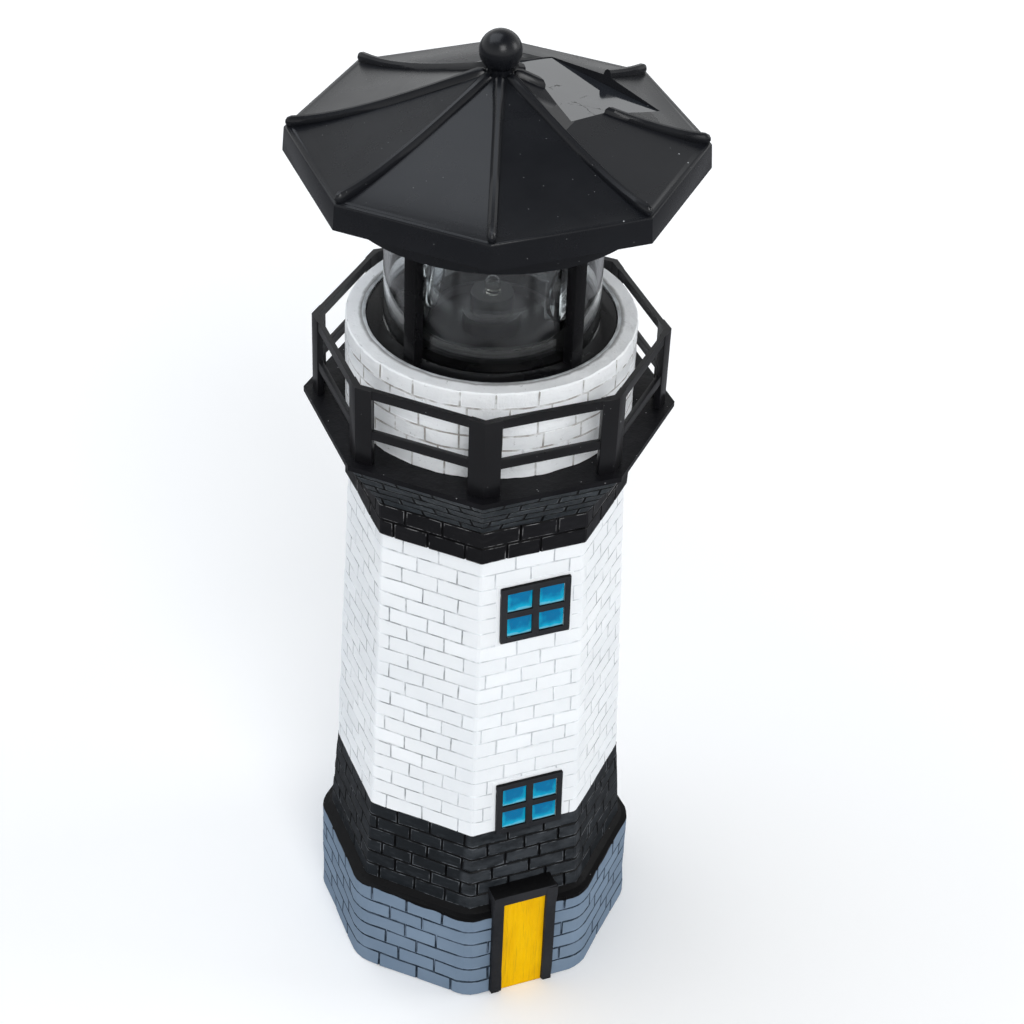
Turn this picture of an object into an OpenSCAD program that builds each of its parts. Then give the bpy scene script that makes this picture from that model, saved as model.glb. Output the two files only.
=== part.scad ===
// Garden lighthouse ornament: a hollow cast tower with a glued railing, and a plastic lamp head
// that lifts out of the tower's drum. The head holds a solar panel in its roof and a
// motor-driven revolving optic behind a clear cylinder.
// Millimetres, +Z up, origin at the centre of the base on the ground, door towards -Y.
// Octagons have their flats on the axes, and an "r" of an octagon is its corner radius.

/* [Plinth and ledge] */
// Corner radius of the octagonal plinth
plinth_r = 57.9; // [56:0.1:64]
// Height of the plinth
plinth_h = 39.5; // [34:0.5:46]
// Rounding of the plinth's upright corners
plinth_round = 10; // [2:0.5:12]
// Bevel round the plinth's top edge
plinth_bevel = 1.2; // [0.5:0.1:2]
// Rise of the ledge from the plinth's rim to the shaft
ledge_h = 2; // [1:0.5:4]

/* [Shaft] */
// Corner radius of the shaft at the ledge
shaft_foot_r = 53.6; // [52:0.1:55]
// Corner radius of the shaft at the paint line
shaft_belt_r = 51; // [49:0.1:52]
// Corner radius of the shaft under the band
shaft_top_r = 46.4; // [46:0.1:48]
// Height of the dark courses over the ledge
dark_h = 34; // [28:0.5:40]
// Height of the white courses
white_h = 119.4; // [100:0.2:140]
// Wall of the casting, measured across a flat
casting_wall = 4.6; // [3.5:0.1:4.8]

/* [Band, corbel and deck] */
// Corner radius of the upright band at the head of the shaft
band_r = 47.4; // [47:0.1:50]
// Height of the band
band_h = 12.6; // [10:0.2:16]
// Corner radius of the corbel under the deck
corbel_r = 59.9; // [58:0.1:62]
// Height of the corbel
corbel_h = 19.5; // [16:0.5:24]
// Corner radius of the deck
deck_r = 61.3; // [60.5:0.1:64]
// Thickness of the deck's lip
deck_t = 1.9; // [1.2:0.1:3]

/* [Drum] */
// Outer radius of the round drum
drum_r = 46.9; // [46:0.1:49]
// Height of the drum over the deck
drum_h = 32.1; // [30:0.1:38]
// Rounding of the drum's outer rim
drum_round = 2.6; // [1:0.2:3.4]

/* [Door and windows] */
// Width of the door frame
door_w = 23.6; // [20:0.2:28]
// Height of the door frame
door_h = 49.4; // [46:0.2:54]
// Width of the frame's posts
door_post = 3.2; // [2.4:0.1:4.5]
// Depth of the frame's lintel
door_lintel = 3.6; // [2.4:0.1:6]
// How far the frame stands out of the plinth
door_proud = 2.2; // [1:0.1:3]
// How far the door leaf lies behind its frame
door_recess = 1.1; // [0.6:0.1:1.6]
// Sideways place of the door
door_x = -1.5; // [-4:0.1:4]
// Width of a window frame
window_w = 24.6; // [20:0.2:27]
// Height of a window frame
window_h = 22.2; // [18:0.2:26]
// Width of a window's frame bars
window_bar = 2.2; // [1.4:0.1:3]
// How far a window frame stands out of the wall
window_proud = 1.7; // [0.6:0.1:2]
// How far the panes lie behind their frame
pane_recess = 0.8; // [0.4:0.1:1]
// Sideways place of the windows
window_x = 1.2; // [-4:0.1:4]
// Height of the lower window's middle over the paint line
low_window_up = 10.2; // [4:0.2:30]
// Distance of the upper window's middle below the band
high_window_down = 23.6; // [16:0.2:60]

/* [Railing] */
// Corner radius of the railing's posts
rail_r = 58.2; // [56.5:0.1:59.4]
// Height of the railing over the deck
rail_h = 28.6; // [24:0.2:34]
// Depth of each rail
rail_band = 3.9; // [3:0.1:5]
// Drop from the top of the top rail to the top of the middle rail
rail_drop = 15; // [12:0.2:18]
// Width of each of a post's two strips
post_w = 5.6; // [4:0.1:8]
// Thickness of a post's strips
post_t = 2.2; // [1.6:0.1:2.8]
// Thickness of the rails between the posts
rail_t = 1.6; // [1:0.1:2.2]

/* [Roof] */
// Corner radius of the roof at the eave
eave_r = 65.7; // [64:0.1:70]
// Height of the upright fascia
fascia_h = 8.5; // [7:0.1:12]
// Rounding of the eave's edge
eave_round = 0.8; // [0.3:0.1:1.2]
// How far the fascia's foot stands out past the eave
fascia_flare = 0.6; // [0:0.1:1.2]
// Rise of the roof from the eave to its apex, if it came to a point
roof_rise = 23.5; // [21:0.1:27]
// Hollowness of the roof's slope: 1 is straight, more is hollower
roof_curve = 1.3; // [1.15:0.01:1.4]
// Wall of the roof
roof_wall = 2.2; // [1.6:0.1:2.6]
// Radius of the flat seat at the apex
apex_flat_r = 4.6; // [4.2:0.1:5.6]
// Radius of the round ribs on the hips
rib_r = 2; // [1.4:0.1:2.4]
// How far the ribs stop short of the eave
rib_end_gap = 0.5; // [0.4:0.1:3]
// How far the ribs' outer ends curl up from the hips
rib_curl = 1.4; // [0:0.1:1.8]
// Radius of the ball finial
ball_r = 6.6; // [6:0.1:8]
// Radius of the finial's neck
neck_r = 3.8; // [3:0.1:4.1]
// Height of the finial's neck
neck_h = 1.5; // [0.8:0.1:2]
// Radius of the finial's pin
finial_pin_r = 2; // [1.4:0.1:2.4]

/* [Solar panel] */
// Width of the panel across its hip
panel_w = 47.6; // [40:0.2:49]
// Length of the panel down the slope
panel_l = 40.4; // [36:0.2:41]
// Thickness of the panel
panel_t = 2.4; // [1.6:0.1:3]
// Slope of the panel
panel_tilt = 14.3; // [12:0.1:16]
// Distance of the panel's upper edge from the finial's axis
panel_start = 7; // [6.8:0.1:9]
// Height of the panel's upper edge above the eave
panel_rise = 11.7; // [10.5:0.1:12]

/* [Lamp room] */
// Height of the lamp room, from the flange to the roof's tray
lamp_h = 45.2; // [40:0.2:54]
// Outer radius of the clear cylinder
glass_r = 35; // [34:0.1:35.6]
// Wall of the clear cylinder
glass_wall = 1.6; // [1.2:0.1:2]
// Radius of the flange that lies in the drum
flange_r = 40.3; // [39.8:0.1:41.5]
// Thickness of the flange
flange_t = 2.5; // [2.2:0.1:3.5]
// Radial depth of a column
column_d = 4; // [3.4:0.1:4.4]
// Width of a column
column_w = 4.4; // [3.8:0.1:6]
// Angle between the two columns of a pair
column_pair_angle = 83.5; // [70:0.5:90]
// Bearing of the front pair's middle
column_bearing = -110.2; // [-130:0.1:-90]
// Height of the collar round the optic's opening
collar_h = 2.4; // [1.5:0.1:4]
// Outer radius of the roof's tray
tray_r = 50; // [46:0.1:54]

/* [Optic] */
// Outer radius of the revolving lens drum
optic_r = 23.9; // [23.2:0.1:24.2]
// Wall of the lens drum
optic_wall = 1.6; // [1.2:0.1:2]
// Height of the lens drum
optic_h = 34; // [31:0.2:38]
// Radius of a bull's-eye lens
lens_r = 13; // [10:0.1:13.4]
// How far a lens bulges past the drum
lens_bulge = 2; // [1:0.1:4]
// Bearing of the first lens at rest
lens_bearing = -30; // [-60:1:60]
// Outer radius of the lamp post that the optic turns on
post_r = 7; // [6:0.1:7.6]
// Height of the lamp post's top over the flange
post_up = 9; // [7:0.2:12]

/* [Drive] */
// Teeth on the optic's gear
gear_teeth = 44; // [40:1:46]
// Teeth on the motor's pinion
pinion_teeth = 12; // [12:1:14]
// Module of the gears
gear_module = 0.9; // [0.86:0.01:0.92]
// Pressure angle of the gears
gear_pressure = 25; // [22:0.5:27]
// Play between the gear teeth, along the pitch line
gear_play = 0.16; // [0.1:0.02:0.3]
// Height of the gear's teeth
gear_t = 4; // [3:0.1:4.4]
// Gap between the motor's can and the housing's wall
motor_gap = 2.4; // [1.8:0.1:3.4]
// Length of the motor's can
motor_l = 14; // [10:0.2:15]
// Radius of the motor's shaft
motor_shaft_r = 1.5; // [1.2:0.1:2]

/* [Housing under the flange] */
// Outer radius of the drive housing
housing_r = 37.6; // [37:0.1:38.4]
// Wall of the drive housing
housing_wall = 2; // [1.6:0.1:2.4]
// Depth of the drive housing under the flange
housing_h = 36; // [35.4:0.2:42]
// Thickness of the housing's inner deck
inner_deck_t = 2.5; // [2:0.1:3]
// Thickness of the housing's cover
cover_t = 2.2; // [1.8:0.1:3]
// Radius of the battery cell
cell_r = 7.1; // [5.2:0.1:7.2]
// Length of the battery cell, with its stud
cell_l = 50; // [44:0.1:50.5]
// Travel of the switch
switch_travel = 4; // [3:0.1:4.5]

/* [Clearances] */
// Radial clearance of a running shaft
run_clear = 0.06; // [0.03:0.01:0.09]
// Gap round the flange and the housing in the drum
drop_in_clear = 0.4; // [0.3:0.05:0.6]
// Gap round the clear cylinder's ends in their grooves
groove_clear = 0.1; // [0.05:0.01:0.2]
// Gap round pieces that are laid in a pocket
pocket_clear = 0.2; // [0.1:0.05:0.3]
// Gap between turning faces
face_clear = 0.3; // [0.2:0.05:0.4]
// Gap round a screw's shank
screw_clear = 0.05; // [0.02:0.01:0.1]

/* [Hidden] */

flat = cos(22.5);   // an octagon's distance across to a flat, over its corner radius
over = 0.5;         // how far a cutter runs past the face it opens
round_fn = 96;      // facets asked of a large circle
small_fn = 32;      // facets asked of a small one

// Levels of the tower
ledge_z = plinth_h + ledge_h;
belt_z = ledge_z + dark_h;
band_z = belt_z + white_h;
corbel_z = band_z + band_h;
deck_z = corbel_z + corbel_h + deck_t;
drum_z = deck_z + drum_h;
// Levels of the lamp head
flange_drop = 0.4;  // the flange's top lies this far below the drum's rim
flange_z = drum_z - flange_drop;
seat_z = flange_z - flange_t;
tray_z = flange_z + lamp_h;
tray_drop = 10.9;   // depth of the tray below the fascia's foot
fascia_z = tray_z + tray_drop;
eave_z = fascia_z + fascia_h;
apex_z = eave_z + roof_rise * pow(1 - apex_flat_r / eave_r, roof_curve);
ball_sink = 1.2;    // how far the ball is sunk on its neck
ball_z = apex_z + neck_h + ball_r - ball_sink;
cover_top = seat_z - housing_h;
cover_z = cover_top - cover_t;

// ---- shared shapes -------------------------------------------------------------------------

module octagon(corner_r) {
    rotate(22.5) circle(r = corner_r, $fn = 8);
}

module rounded_octagon(corner_r, round_r) {
    offset(r = round_r, $fn = small_fn) offset(delta = -round_r) octagon(corner_r);
}

// Octagonal solid from an outline of [corner radius, height] points
module octagon_turned(outline) {
    rotate(22.5) rotate_extrude($fn = 8) polygon(outline);
}

// Upright cylinder between two levels
module rod(r, z0, z1, facets = small_fn) {
    translate([0, 0, z0]) cylinder(r = r, h = z1 - z0, $fn = facets);
}

// Upright ring between two levels
module ring(r_out, r_in, z0, z1) {
    translate([0, 0, z0]) difference() {
        cylinder(r = r_out, h = z1 - z0, $fn = round_fn);
        translate([0, 0, -over]) cylinder(r = r_in, h = z1 - z0 + 2 * over, $fn = round_fn);
    }
}

// Block centred on x and y, between two levels
module block(w, d, z0, z1) {
    translate([-w / 2, -d / 2, z0]) cube([w, d, z1 - z0]);
}

module on_bearings(bearings, radius) {
    for (b = bearings) {
        rotate(b) translate([radius, 0, 0]) children();
    }
}

// Pan-head screw: its head sits on level z and its shank runs up (dir 1) or down (dir -1)
module screw(head_r, head_h, shank_r, shank_l, z, dir) {
    slot_w = head_r * 0.3;
    translate([0, 0, z]) mirror([0, 0, dir < 0 ? 0 : 1]) difference() {
        union() {
            cylinder(r = head_r, h = head_h, $fn = small_fn);
            translate([0, 0, -shank_l]) cylinder(r = shank_r, h = shank_l + over, $fn = small_fn);
        }
        translate([-head_r, -slot_w / 2, head_h * 0.5]) cube([2 * head_r, slot_w, head_h]);
        translate([-slot_w / 2, -head_r, head_h * 0.5]) cube([slot_w, 2 * head_r, head_h]);
    }
}

// ---- tower ---------------------------------------------------------------------------------

bore_r = housing_r + drop_in_clear;
housing_in = housing_r - housing_wall;
seat_r = flange_r + drop_in_clear;
white_slope = (shaft_belt_r - shaft_top_r) * flat / white_h;
wall_lean = atan(white_slope);

// Distance of the white shaft's flat from the axis at level z
function shaft_flat(z) = shaft_belt_r * flat - white_slope * (z - belt_z);

low_window_z = belt_z + low_window_up;
high_window_z = band_z - high_window_down;
pane_w = (window_w - 3 * window_bar) / 2;
pane_h = (window_h - 3 * window_bar) / 2;
window_sink = 2;                             // root of a window frame inside the wall

module window(z_mid) {
    translate([window_x, -shaft_flat(z_mid), z_mid]) rotate([-wall_lean, 0, 0]) {
        difference() {
            translate([-window_w / 2, -window_proud, -window_h / 2])
                cube([window_w, window_proud + window_sink, window_h]);
            for (sx = [-1, 1], sz = [-1, 1]) {
                translate([sx * (pane_w + window_bar) / 2 - pane_w / 2, -window_proud - over,
                           sz * (pane_h + window_bar) / 2 - pane_h / 2])
                    cube([pane_w, pane_recess + over, pane_h]);
            }
        }
    }
}

module door() {
    front_y = plinth_r * flat + door_proud;
    back_y = shaft_foot_r * flat - casting_wall / 2;
    difference() {
        translate([door_x - door_w / 2, -front_y, 0])
            cube([door_w, front_y - back_y, door_h]);
        translate([door_x - door_w / 2 + door_post, -front_y - over, -over])
            cube([door_w - 2 * door_post, door_recess + over, door_h - door_lintel + over]);
    }
}

module plinth() {
    hull() {
        linear_extrude(plinth_h - plinth_bevel) rounded_octagon(plinth_r, plinth_round);
        linear_extrude(plinth_h) rounded_octagon(plinth_r - plinth_bevel, plinth_round);
    }
}

// Ledge, dark and white courses, band, corbel and deck, from inside the plinth up
module shaft() {
    corner_cut = plinth_round * (1 / flat - 1);
    ledge_r = plinth_r - plinth_bevel - corner_cut - 0.6;
    corbel_top = corbel_z + corbel_h;
    octagon_turned([
        [0, plinth_h - plinth_bevel], [ledge_r, plinth_h - plinth_bevel], [ledge_r, plinth_h],
        [shaft_foot_r, ledge_z], [shaft_belt_r, belt_z], [shaft_top_r, band_z],
        [band_r, band_z], [band_r, corbel_z], [corbel_r, corbel_top],
        [deck_r, corbel_top], [deck_r, deck_z], [0, deck_z]]);
}

module drum() {
    translate([0, 0, deck_z - over]) rotate_extrude($fn = round_fn) {
        square([drum_r - drum_round, drum_h + over]);
        square([drum_r, drum_h + over - drum_round]);
        translate([drum_r - drum_round, drum_h + over - drum_round])
            circle(r = drum_round, $fn = small_fn);
    }
}

// The core tapers straight down from the white courses, so that it draws out through the foot
module tower_cavity() {
    wall = casting_wall / flat;
    core_top_r = shaft_top_r - wall;
    core_foot_r = core_top_r + (shaft_belt_r - shaft_top_r) * band_z / white_h;
    neck_z = corbel_z - 2;
    neck = max(bore_r / flat, band_r - wall);
    octagon_turned([
        [0, -over], [core_foot_r, -over], [core_top_r, band_z], [neck, neck_z], [0, neck_z]]);
    rod(bore_r, neck_z - over, seat_z + over, round_fn);
    rod(seat_r, seat_z, drum_z + over, round_fn);
}

module tower_casting() {
    difference() {
        union() {
            color("slategray") plinth();
            color("gainsboro") shaft();
            color("white") drum();
            color("gold") door();
            color("deepskyblue") window(low_window_z);
            color("deepskyblue") window(high_window_z);
        }
        tower_cavity();
    }
}

// Octagonal railing: eight folded corner posts with a top and a middle rail between them
module railing() {
    top = deck_z + rail_h;
    inner_r = rail_r - post_t / flat;
    set_back = (post_t - rail_t) / 2;
    rail_out = rail_r - set_back / flat;
    side = 2 * rail_r * sin(22.5);
    color("black") {
        difference() {
            translate([0, 0, deck_z]) linear_extrude(rail_h) difference() {
                octagon(rail_r);
                octagon(inner_r);
            }
            for (k = [0 : 7]) {
                rotate(45 * k) translate([rail_r / 2, -side / 2 + post_w, deck_z - over])
                    cube([rail_r, side - 2 * post_w, rail_h + 2 * over]);
            }
        }
        for (rail_top = [top, top - rail_drop]) {
            translate([0, 0, rail_top - rail_band]) linear_extrude(rail_band) difference() {
                octagon(rail_out);
                octagon(rail_out - rail_t / flat);
            }
        }
    }
}

// ---- roof ----------------------------------------------------------------------------------

roof_steps = 12;        // rings of the hollow slope
fascia_foot_r = eave_r + fascia_flare;
// Height of the roof's hip at corner radius r
function hip_z(r) = eave_z + roof_rise * pow(max(0, 1 - r / eave_r), roof_curve);
// Radii of the rings, closer together near the eave where the slope flattens
slope_r = eave_r - eave_round;
function ring_r(i) = apex_flat_r + (slope_r - apex_flat_r) * sin(90 * i / roof_steps);
eave_edge = [for (a = [30, 60, 90])
    [slope_r + eave_round * sin(a), hip_z(slope_r) - eave_round * (1 - cos(a))]];
roof_line = concat([for (i = [0 : roof_steps]) [ring_r(i), hip_z(ring_r(i))]], eave_edge);
roof_rings = len(roof_line);
eave_in = eave_r - roof_wall / flat;         // inner corner radius at the eave
fascia_in = fascia_foot_r - roof_wall / flat;

module roof_solid() {
    octagon_turned(concat(
        [[0, fascia_z], [fascia_foot_r, fascia_z]],
        [for (i = [roof_rings - 1 : -1 : 0]) roof_line[i]],
        [[0, apex_z]]));
}

module roof_hollow() {
    inner = [for (p = roof_line) [min(p[0], eave_in), p[1] - roof_wall]];
    octagon_turned(concat(
        [[0, fascia_z - over], [fascia_in, fascia_z - over]],
        [for (i = [roof_steps : -1 : 0]) inner[i]],
        [[0, apex_z - roof_wall]]));
}

// A rib is a round bead laid along a hip, with rounded ends
rib_sides = 10;
rib_lift = -0.35;       // height of the bead's middle over the hip
rib_from = apex_flat_r + 1.4;
rib_to = eave_r - rib_end_gap - rib_r;
rib_mid_steps = 12;
rib_cap = [[-0.97, 0.24], [-0.7, 0.71], [0, 1]];
rib_stations = concat(
    [for (c = rib_cap) [rib_from + c[0] * rib_r, c[1]]],
    [for (i = [1 : rib_mid_steps - 1]) [rib_from + (rib_to - rib_from) * i / rib_mid_steps, 1]],
    [for (i = [2 : -1 : 0]) [rib_to - rib_cap[i][0] * rib_r, rib_cap[i][1]]]);

// Lift of a rib's middle: sunk a little into the hip, and curling up towards the eave
function rib_z(r) = hip_z(r) + rib_lift
    + rib_curl * pow(max(0, (r - rib_from) / (rib_to - rib_from)), 5);

function rib_point(s, j) =
    let (a = 360 * j / rib_sides, rr = rib_r * s[1],
         slope = (rib_z(s[0] + 0.5) - rib_z(s[0] - 0.5)), n = norm([1, slope]))
    [s[0] - rr * sin(a) * slope / n, rr * cos(a), rib_z(s[0]) + rr * sin(a) / n];

module rib() {
    last = len(rib_stations) - 1;
    points = [for (s = rib_stations, j = [0 : rib_sides - 1]) rib_point(s, j)];
    walls = [for (i = [0 : last - 1], j = [0 : rib_sides - 1])
        let (a = i * rib_sides + j, b = i * rib_sides + (j + 1) % rib_sides)
        [a, a + rib_sides, b + rib_sides, b]];
    near_end = [for (j = [0 : rib_sides - 1]) j];
    far_end = [for (j = [rib_sides - 1 : -1 : 0]) last * rib_sides + j];
    polyhedron(points, concat(walls, [near_end], [far_end]), convexity = 6);
}

panel_bearing = 22.5;   // the panel lies across this hip
panel_z = eave_z + panel_rise;
pocket_wall = 1.6;
pocket_l = panel_l + 2 * pocket_clear;
pocket_w = panel_w + 2 * pocket_clear;
pocket_up = 20;         // the pocket is cut this far up, clear of the roof

// Places children on the panel's plane: x runs down the slope, z up from the panel's face
module on_panel_plane() {
    rotate(panel_bearing) translate([panel_start, 0, panel_z]) rotate([0, panel_tilt, 0])
        children();
}

module solar_panel() {
    color("darkslategray") on_panel_plane() translate([pocket_clear, -panel_w / 2, -panel_t])
        cube([panel_l, panel_w, panel_t]);
}

finial_hole_r = finial_pin_r + screw_clear;
finial_boss_r = 4;
finial_boss_h = 8;
roof_boss_r = 3.2;
roof_screw_r = 1.3;
roof_screw_grip = 3;    // how far the screws reach into the bosses
roof_screw_at = (tray_r + eave_in * flat) / 2;
roof_screw_bearings = [45, 135, 225, 315];
soffit_t = 2;
soffit_z = fascia_z + 0.6;
soffit_top = soffit_z + soffit_t;

module roof_shell() {
    color([0.07, 0.07, 0.08]) difference() {
        union() {
            difference() {
                roof_solid();
                roof_hollow();
            }
            for (k = [0 : 7]) {
                rotate(22.5 + 45 * k) rib();
            }
            intersection() {
                roof_solid();
                union() {
                    on_panel_plane() translate([-pocket_wall, -pocket_w / 2 - pocket_wall,
                                                -panel_t - pocket_wall])
                        cube([pocket_l + 2 * pocket_wall, pocket_w + 2 * pocket_wall, pocket_up]);
                    rod(finial_boss_r, apex_z - finial_boss_h, apex_z);
                    on_bearings(roof_screw_bearings, roof_screw_at)
                        rod(roof_boss_r, soffit_top, eave_z + roof_wall);
                }
            }
        }
        on_panel_plane() translate([0, -pocket_w / 2, -panel_t])
            cube([pocket_l, pocket_w, pocket_up]);
        rod(finial_hole_r, apex_z - finial_boss_h - over, apex_z + over);
        on_bearings(roof_screw_bearings, roof_screw_at)
            rod(roof_screw_r + screw_clear, soffit_top - over, eave_z - roof_wall / 2);
    }
}

module finial_ball() {
    color("black") {
        translate([0, 0, ball_z]) sphere(r = ball_r, $fn = 64);
        rod(neck_r, apex_z, ball_z - ball_r / 2);
        rod(finial_pin_r, apex_z - finial_boss_h + 1, apex_z + over);
    }
}

// ---- roof tray and lamp frame --------------------------------------------------------------

top_ring_t = 2.5;       // the ring that joins the columns lies in the tray's recess
tray_wall = 2;
column_in = glass_r + 0.4;
column_out = column_in + column_d;
column_mid = (column_in + column_out) / 2;
top_ring_r = column_out + 0.6;
column_bearings = [for (side = [0, 180], s = [-1, 1])
    column_bearing + side + s * column_pair_angle / 2];
tray_floor_z = tray_z + top_ring_t;
tray_floor_top = tray_floor_z + tray_wall;

module roof_tray() {
    color([0.08, 0.08, 0.08]) difference() {
        union() {
            ring(tray_r, tray_r - tray_wall, tray_z, soffit_z + over);
            ring(tray_r, top_ring_r + pocket_clear, tray_z, tray_floor_z + over);
            rod(tray_r - tray_wall / 2, tray_floor_z, tray_floor_top, round_fn);
            difference() {
                translate([0, 0, soffit_z]) linear_extrude(soffit_t)
                    octagon(eave_in - pocket_clear);
                rod(tray_r - tray_wall, soffit_z - over, soffit_top + over, round_fn);
            }
        }
        on_bearings(roof_screw_bearings, roof_screw_at)
            rod(roof_screw_r + screw_clear, soffit_z - over, soffit_top + over);
        on_bearings(column_bearings, column_mid)
            rod(column_screw_r + screw_clear, tray_floor_z - over, tray_floor_top + over);
    }
}

module roof_screws() {
    color("silver") on_bearings(roof_screw_bearings, roof_screw_at)
        screw(2.6, 1.5, roof_screw_r, soffit_t + roof_screw_grip, soffit_z, 1);
}

column_screw_r = 1.2;
column_screw_l = 9;

module column_screws() {
    color("silver") on_bearings(column_bearings, column_mid)
        screw(2.4, 1.6, column_screw_r, tray_wall + column_screw_l, tray_floor_top, -1);
}

groove_out = glass_r + groove_clear;
groove_in = glass_r - glass_wall - groove_clear;
groove_depth = 1.4;
opening_r = optic_r + 1;        // the optic stands in this opening of the flange
collar_wall = 1.4;
frame_boss_r = 3;
frame_boss_gap = 1.1;           // from the bosses to the housing's wall
frame_boss_at = housing_in - frame_boss_gap - frame_boss_r;
frame_boss_bearings = [30, 150, 270];
gear_room = 9;                  // depth of the gears' room under the flange
inner_deck_top = seat_z - gear_room;
inner_deck_z = inner_deck_top - inner_deck_t;
frame_screw_r = 1.2;
frame_screw_l = 6;

module lamp_frame() {
    color([0.05, 0.05, 0.06]) difference() {
        union() {
            rod(flange_r, seat_z, flange_z, round_fn);
            rod(opening_r + collar_wall, flange_z - over, flange_z + collar_h, round_fn);
            on_bearings(column_bearings, column_mid)
                block(column_d, column_w, flange_z - over, tray_z + over);
            rod(top_ring_r, tray_z, tray_floor_z, round_fn);
            on_bearings(frame_boss_bearings, frame_boss_at)
                rod(frame_boss_r, inner_deck_top, seat_z + over);
        }
        rod(opening_r, seat_z - over, flange_z + collar_h + over, round_fn);
        rod(groove_in - 2, tray_z - over, tray_floor_z + over, round_fn);
        ring(groove_out, groove_in, flange_z - groove_depth, flange_z + over);
        ring(groove_out, groove_in, tray_z - over, tray_z + groove_depth);
        on_bearings(column_bearings, column_mid)
            rod(column_screw_r + screw_clear, tray_floor_z - column_screw_l - 1, tray_floor_z + over);
        on_bearings(frame_boss_bearings, frame_boss_at)
            rod(frame_screw_r + screw_clear, inner_deck_top - over, inner_deck_top + frame_screw_l + 1);
    }
}

module lamp_cylinder() {
    color([0.85, 0.9, 0.95, 0.35])
        ring(glass_r, glass_r - glass_wall, flange_z - groove_depth + pocket_clear,
             tray_z + groove_depth - pocket_clear);
}

// ---- housing under the flange --------------------------------------------------------------

motor_y = gear_module * (gear_teeth + pinion_teeth) / 2;    // distance between the gears' axes
motor_r = housing_in - motor_gap - motor_y;
motor_nose_r = 3;
spigot_r = 5;
board_w = 34;
board_d = 24;
board_t = 1.6;
board_y = -2;
board_gap = 1.9;        // the board hangs this far below the inner deck
board_top = inner_deck_z - board_gap;
board_post_r = 2;
board_post_x = 13;
cover_boss_r = 3;
cover_boss_at = housing_in - cover_boss_r + 0.6;   // the bosses grow into the wall
cover_boss_bearings = [52, 128, 270];
cover_screw_r = 1.2;
cover_screw_l = 7;
shoulder_t = 1.5;
shoulder_r = post_r + 3;

module drive_housing() {
    color([0.1, 0.1, 0.1]) difference() {
        union() {
            ring(housing_r, housing_in, cover_top, seat_z);
            rod(housing_in + over, inner_deck_z, inner_deck_top, round_fn);
            on_bearings(cover_boss_bearings, cover_boss_at)
                rod(cover_boss_r, cover_top, cover_top + cover_screw_l + 2);
            for (s = [-1, 1]) {
                translate([s * board_post_x, board_y, 0]) rod(board_post_r, board_top, inner_deck_z + over);
            }
        }
        rod(spigot_r + groove_clear, inner_deck_z - over, inner_deck_top + over);
        translate([0, motor_y, 0])
            rod(motor_nose_r + groove_clear, inner_deck_z - over, inner_deck_top + over);
        on_bearings(frame_boss_bearings, frame_boss_at)
            rod(frame_screw_r + screw_clear, inner_deck_z - over, inner_deck_top + over);
        on_bearings(cover_boss_bearings, cover_boss_at)
            rod(cover_screw_r + screw_clear, cover_top - over, cover_top + cover_screw_l + 1);
    }
}

module frame_screws() {
    color("silver") on_bearings(frame_boss_bearings, frame_boss_at)
        screw(2.4, 1.6, frame_screw_r, inner_deck_t + frame_screw_l, inner_deck_z, 1);
}

post_top = flange_z + post_up;
led_r = 2.5;
led_h = 5.6;
led_rim_r = 2.9;
led_rim_h = 1;
led_leg_r = 0.35;
led_leg_gap = 1.27;

module led_post() {
    color("dimgray") difference() {
        union() {
            rod(post_r, inner_deck_top, post_top, 64);
            rod(shoulder_r, inner_deck_top, inner_deck_top + shoulder_t, 64);
            rod(spigot_r, inner_deck_z, inner_deck_top + over);
        }
        rod(2.2, inner_deck_z - over, post_top + over);
        rod(led_rim_r + groove_clear, post_top - led_rim_h, post_top + over);
    }
}

module led_lamp() {
    color("lightyellow") {
        rod(led_rim_r, post_top - led_rim_h, post_top);
        rod(led_r, post_top - over, post_top + led_h - led_r);
        translate([0, 0, post_top + led_h - led_r]) sphere(r = led_r, $fn = 48);
        for (s = [-1, 1]) {
            translate([s * led_leg_gap, 0, 0]) rod(led_leg_r, board_top, post_top - led_rim_h + over, 16);
        }
    }
}

module circuit_board() {
    board_under = board_top - board_t;
    chip_at = board_w / 4;
    chip_w = 6;
    chip_t = 1.6;
    can_r = 3;
    can_h = 5;
    color("green") {
        translate([0, board_y, 0]) block(board_w, board_d, board_under, board_top);
        translate([chip_at, board_y + board_d / 5, 0])
            block(chip_w, chip_w, board_under - chip_t, board_under + board_t / 2);
        translate([-chip_at, board_y + board_d / 6, 0])
            rod(can_r, board_under - can_h, board_under + board_t / 2);
    }
}

motor_top = inner_deck_z;

module motor() {
    color("silver") translate([0, motor_y, 0]) difference() {
        union() {
            rod(motor_r, motor_top - motor_l, motor_top, 64);
            rod(motor_nose_r, motor_top - over, inner_deck_top + 0.6);
            rod(2.4, motor_top - motor_l - 1.6, motor_top - motor_l + over);
        }
        rod(motor_shaft_r + run_clear, motor_top - 4, inner_deck_top + 1);
    }
}

cell_body_l = cell_l - 1;
cell_stud_r = 2.7;
cradle_r = cell_r + pocket_clear;
contact_t = 0.5;
spring_l = 2.6;
cell_lift = 1.9;        // height of the cell over the cover
cell_z = cover_top + cell_r + cell_lift;
cell_shift = 0.4;       // the cell sits this far off the middle, as the spring needs more room
cell_x0 = -cell_l / 2 + cell_shift;
cell_x1 = cell_x0 + cell_l;
contact_w = 9;
end_wall = 1.6;
bay_gap = 1.5;          // from the battery bay's corners to the housing's wall
bay_end = end_wall + contact_t + spring_l - cell_x0;
// The cell lies as far to the front as the bay's corners allow
cell_y = contact_w / 2 - sqrt(pow(housing_in - bay_gap, 2) - pow(bay_end, 2));

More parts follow.
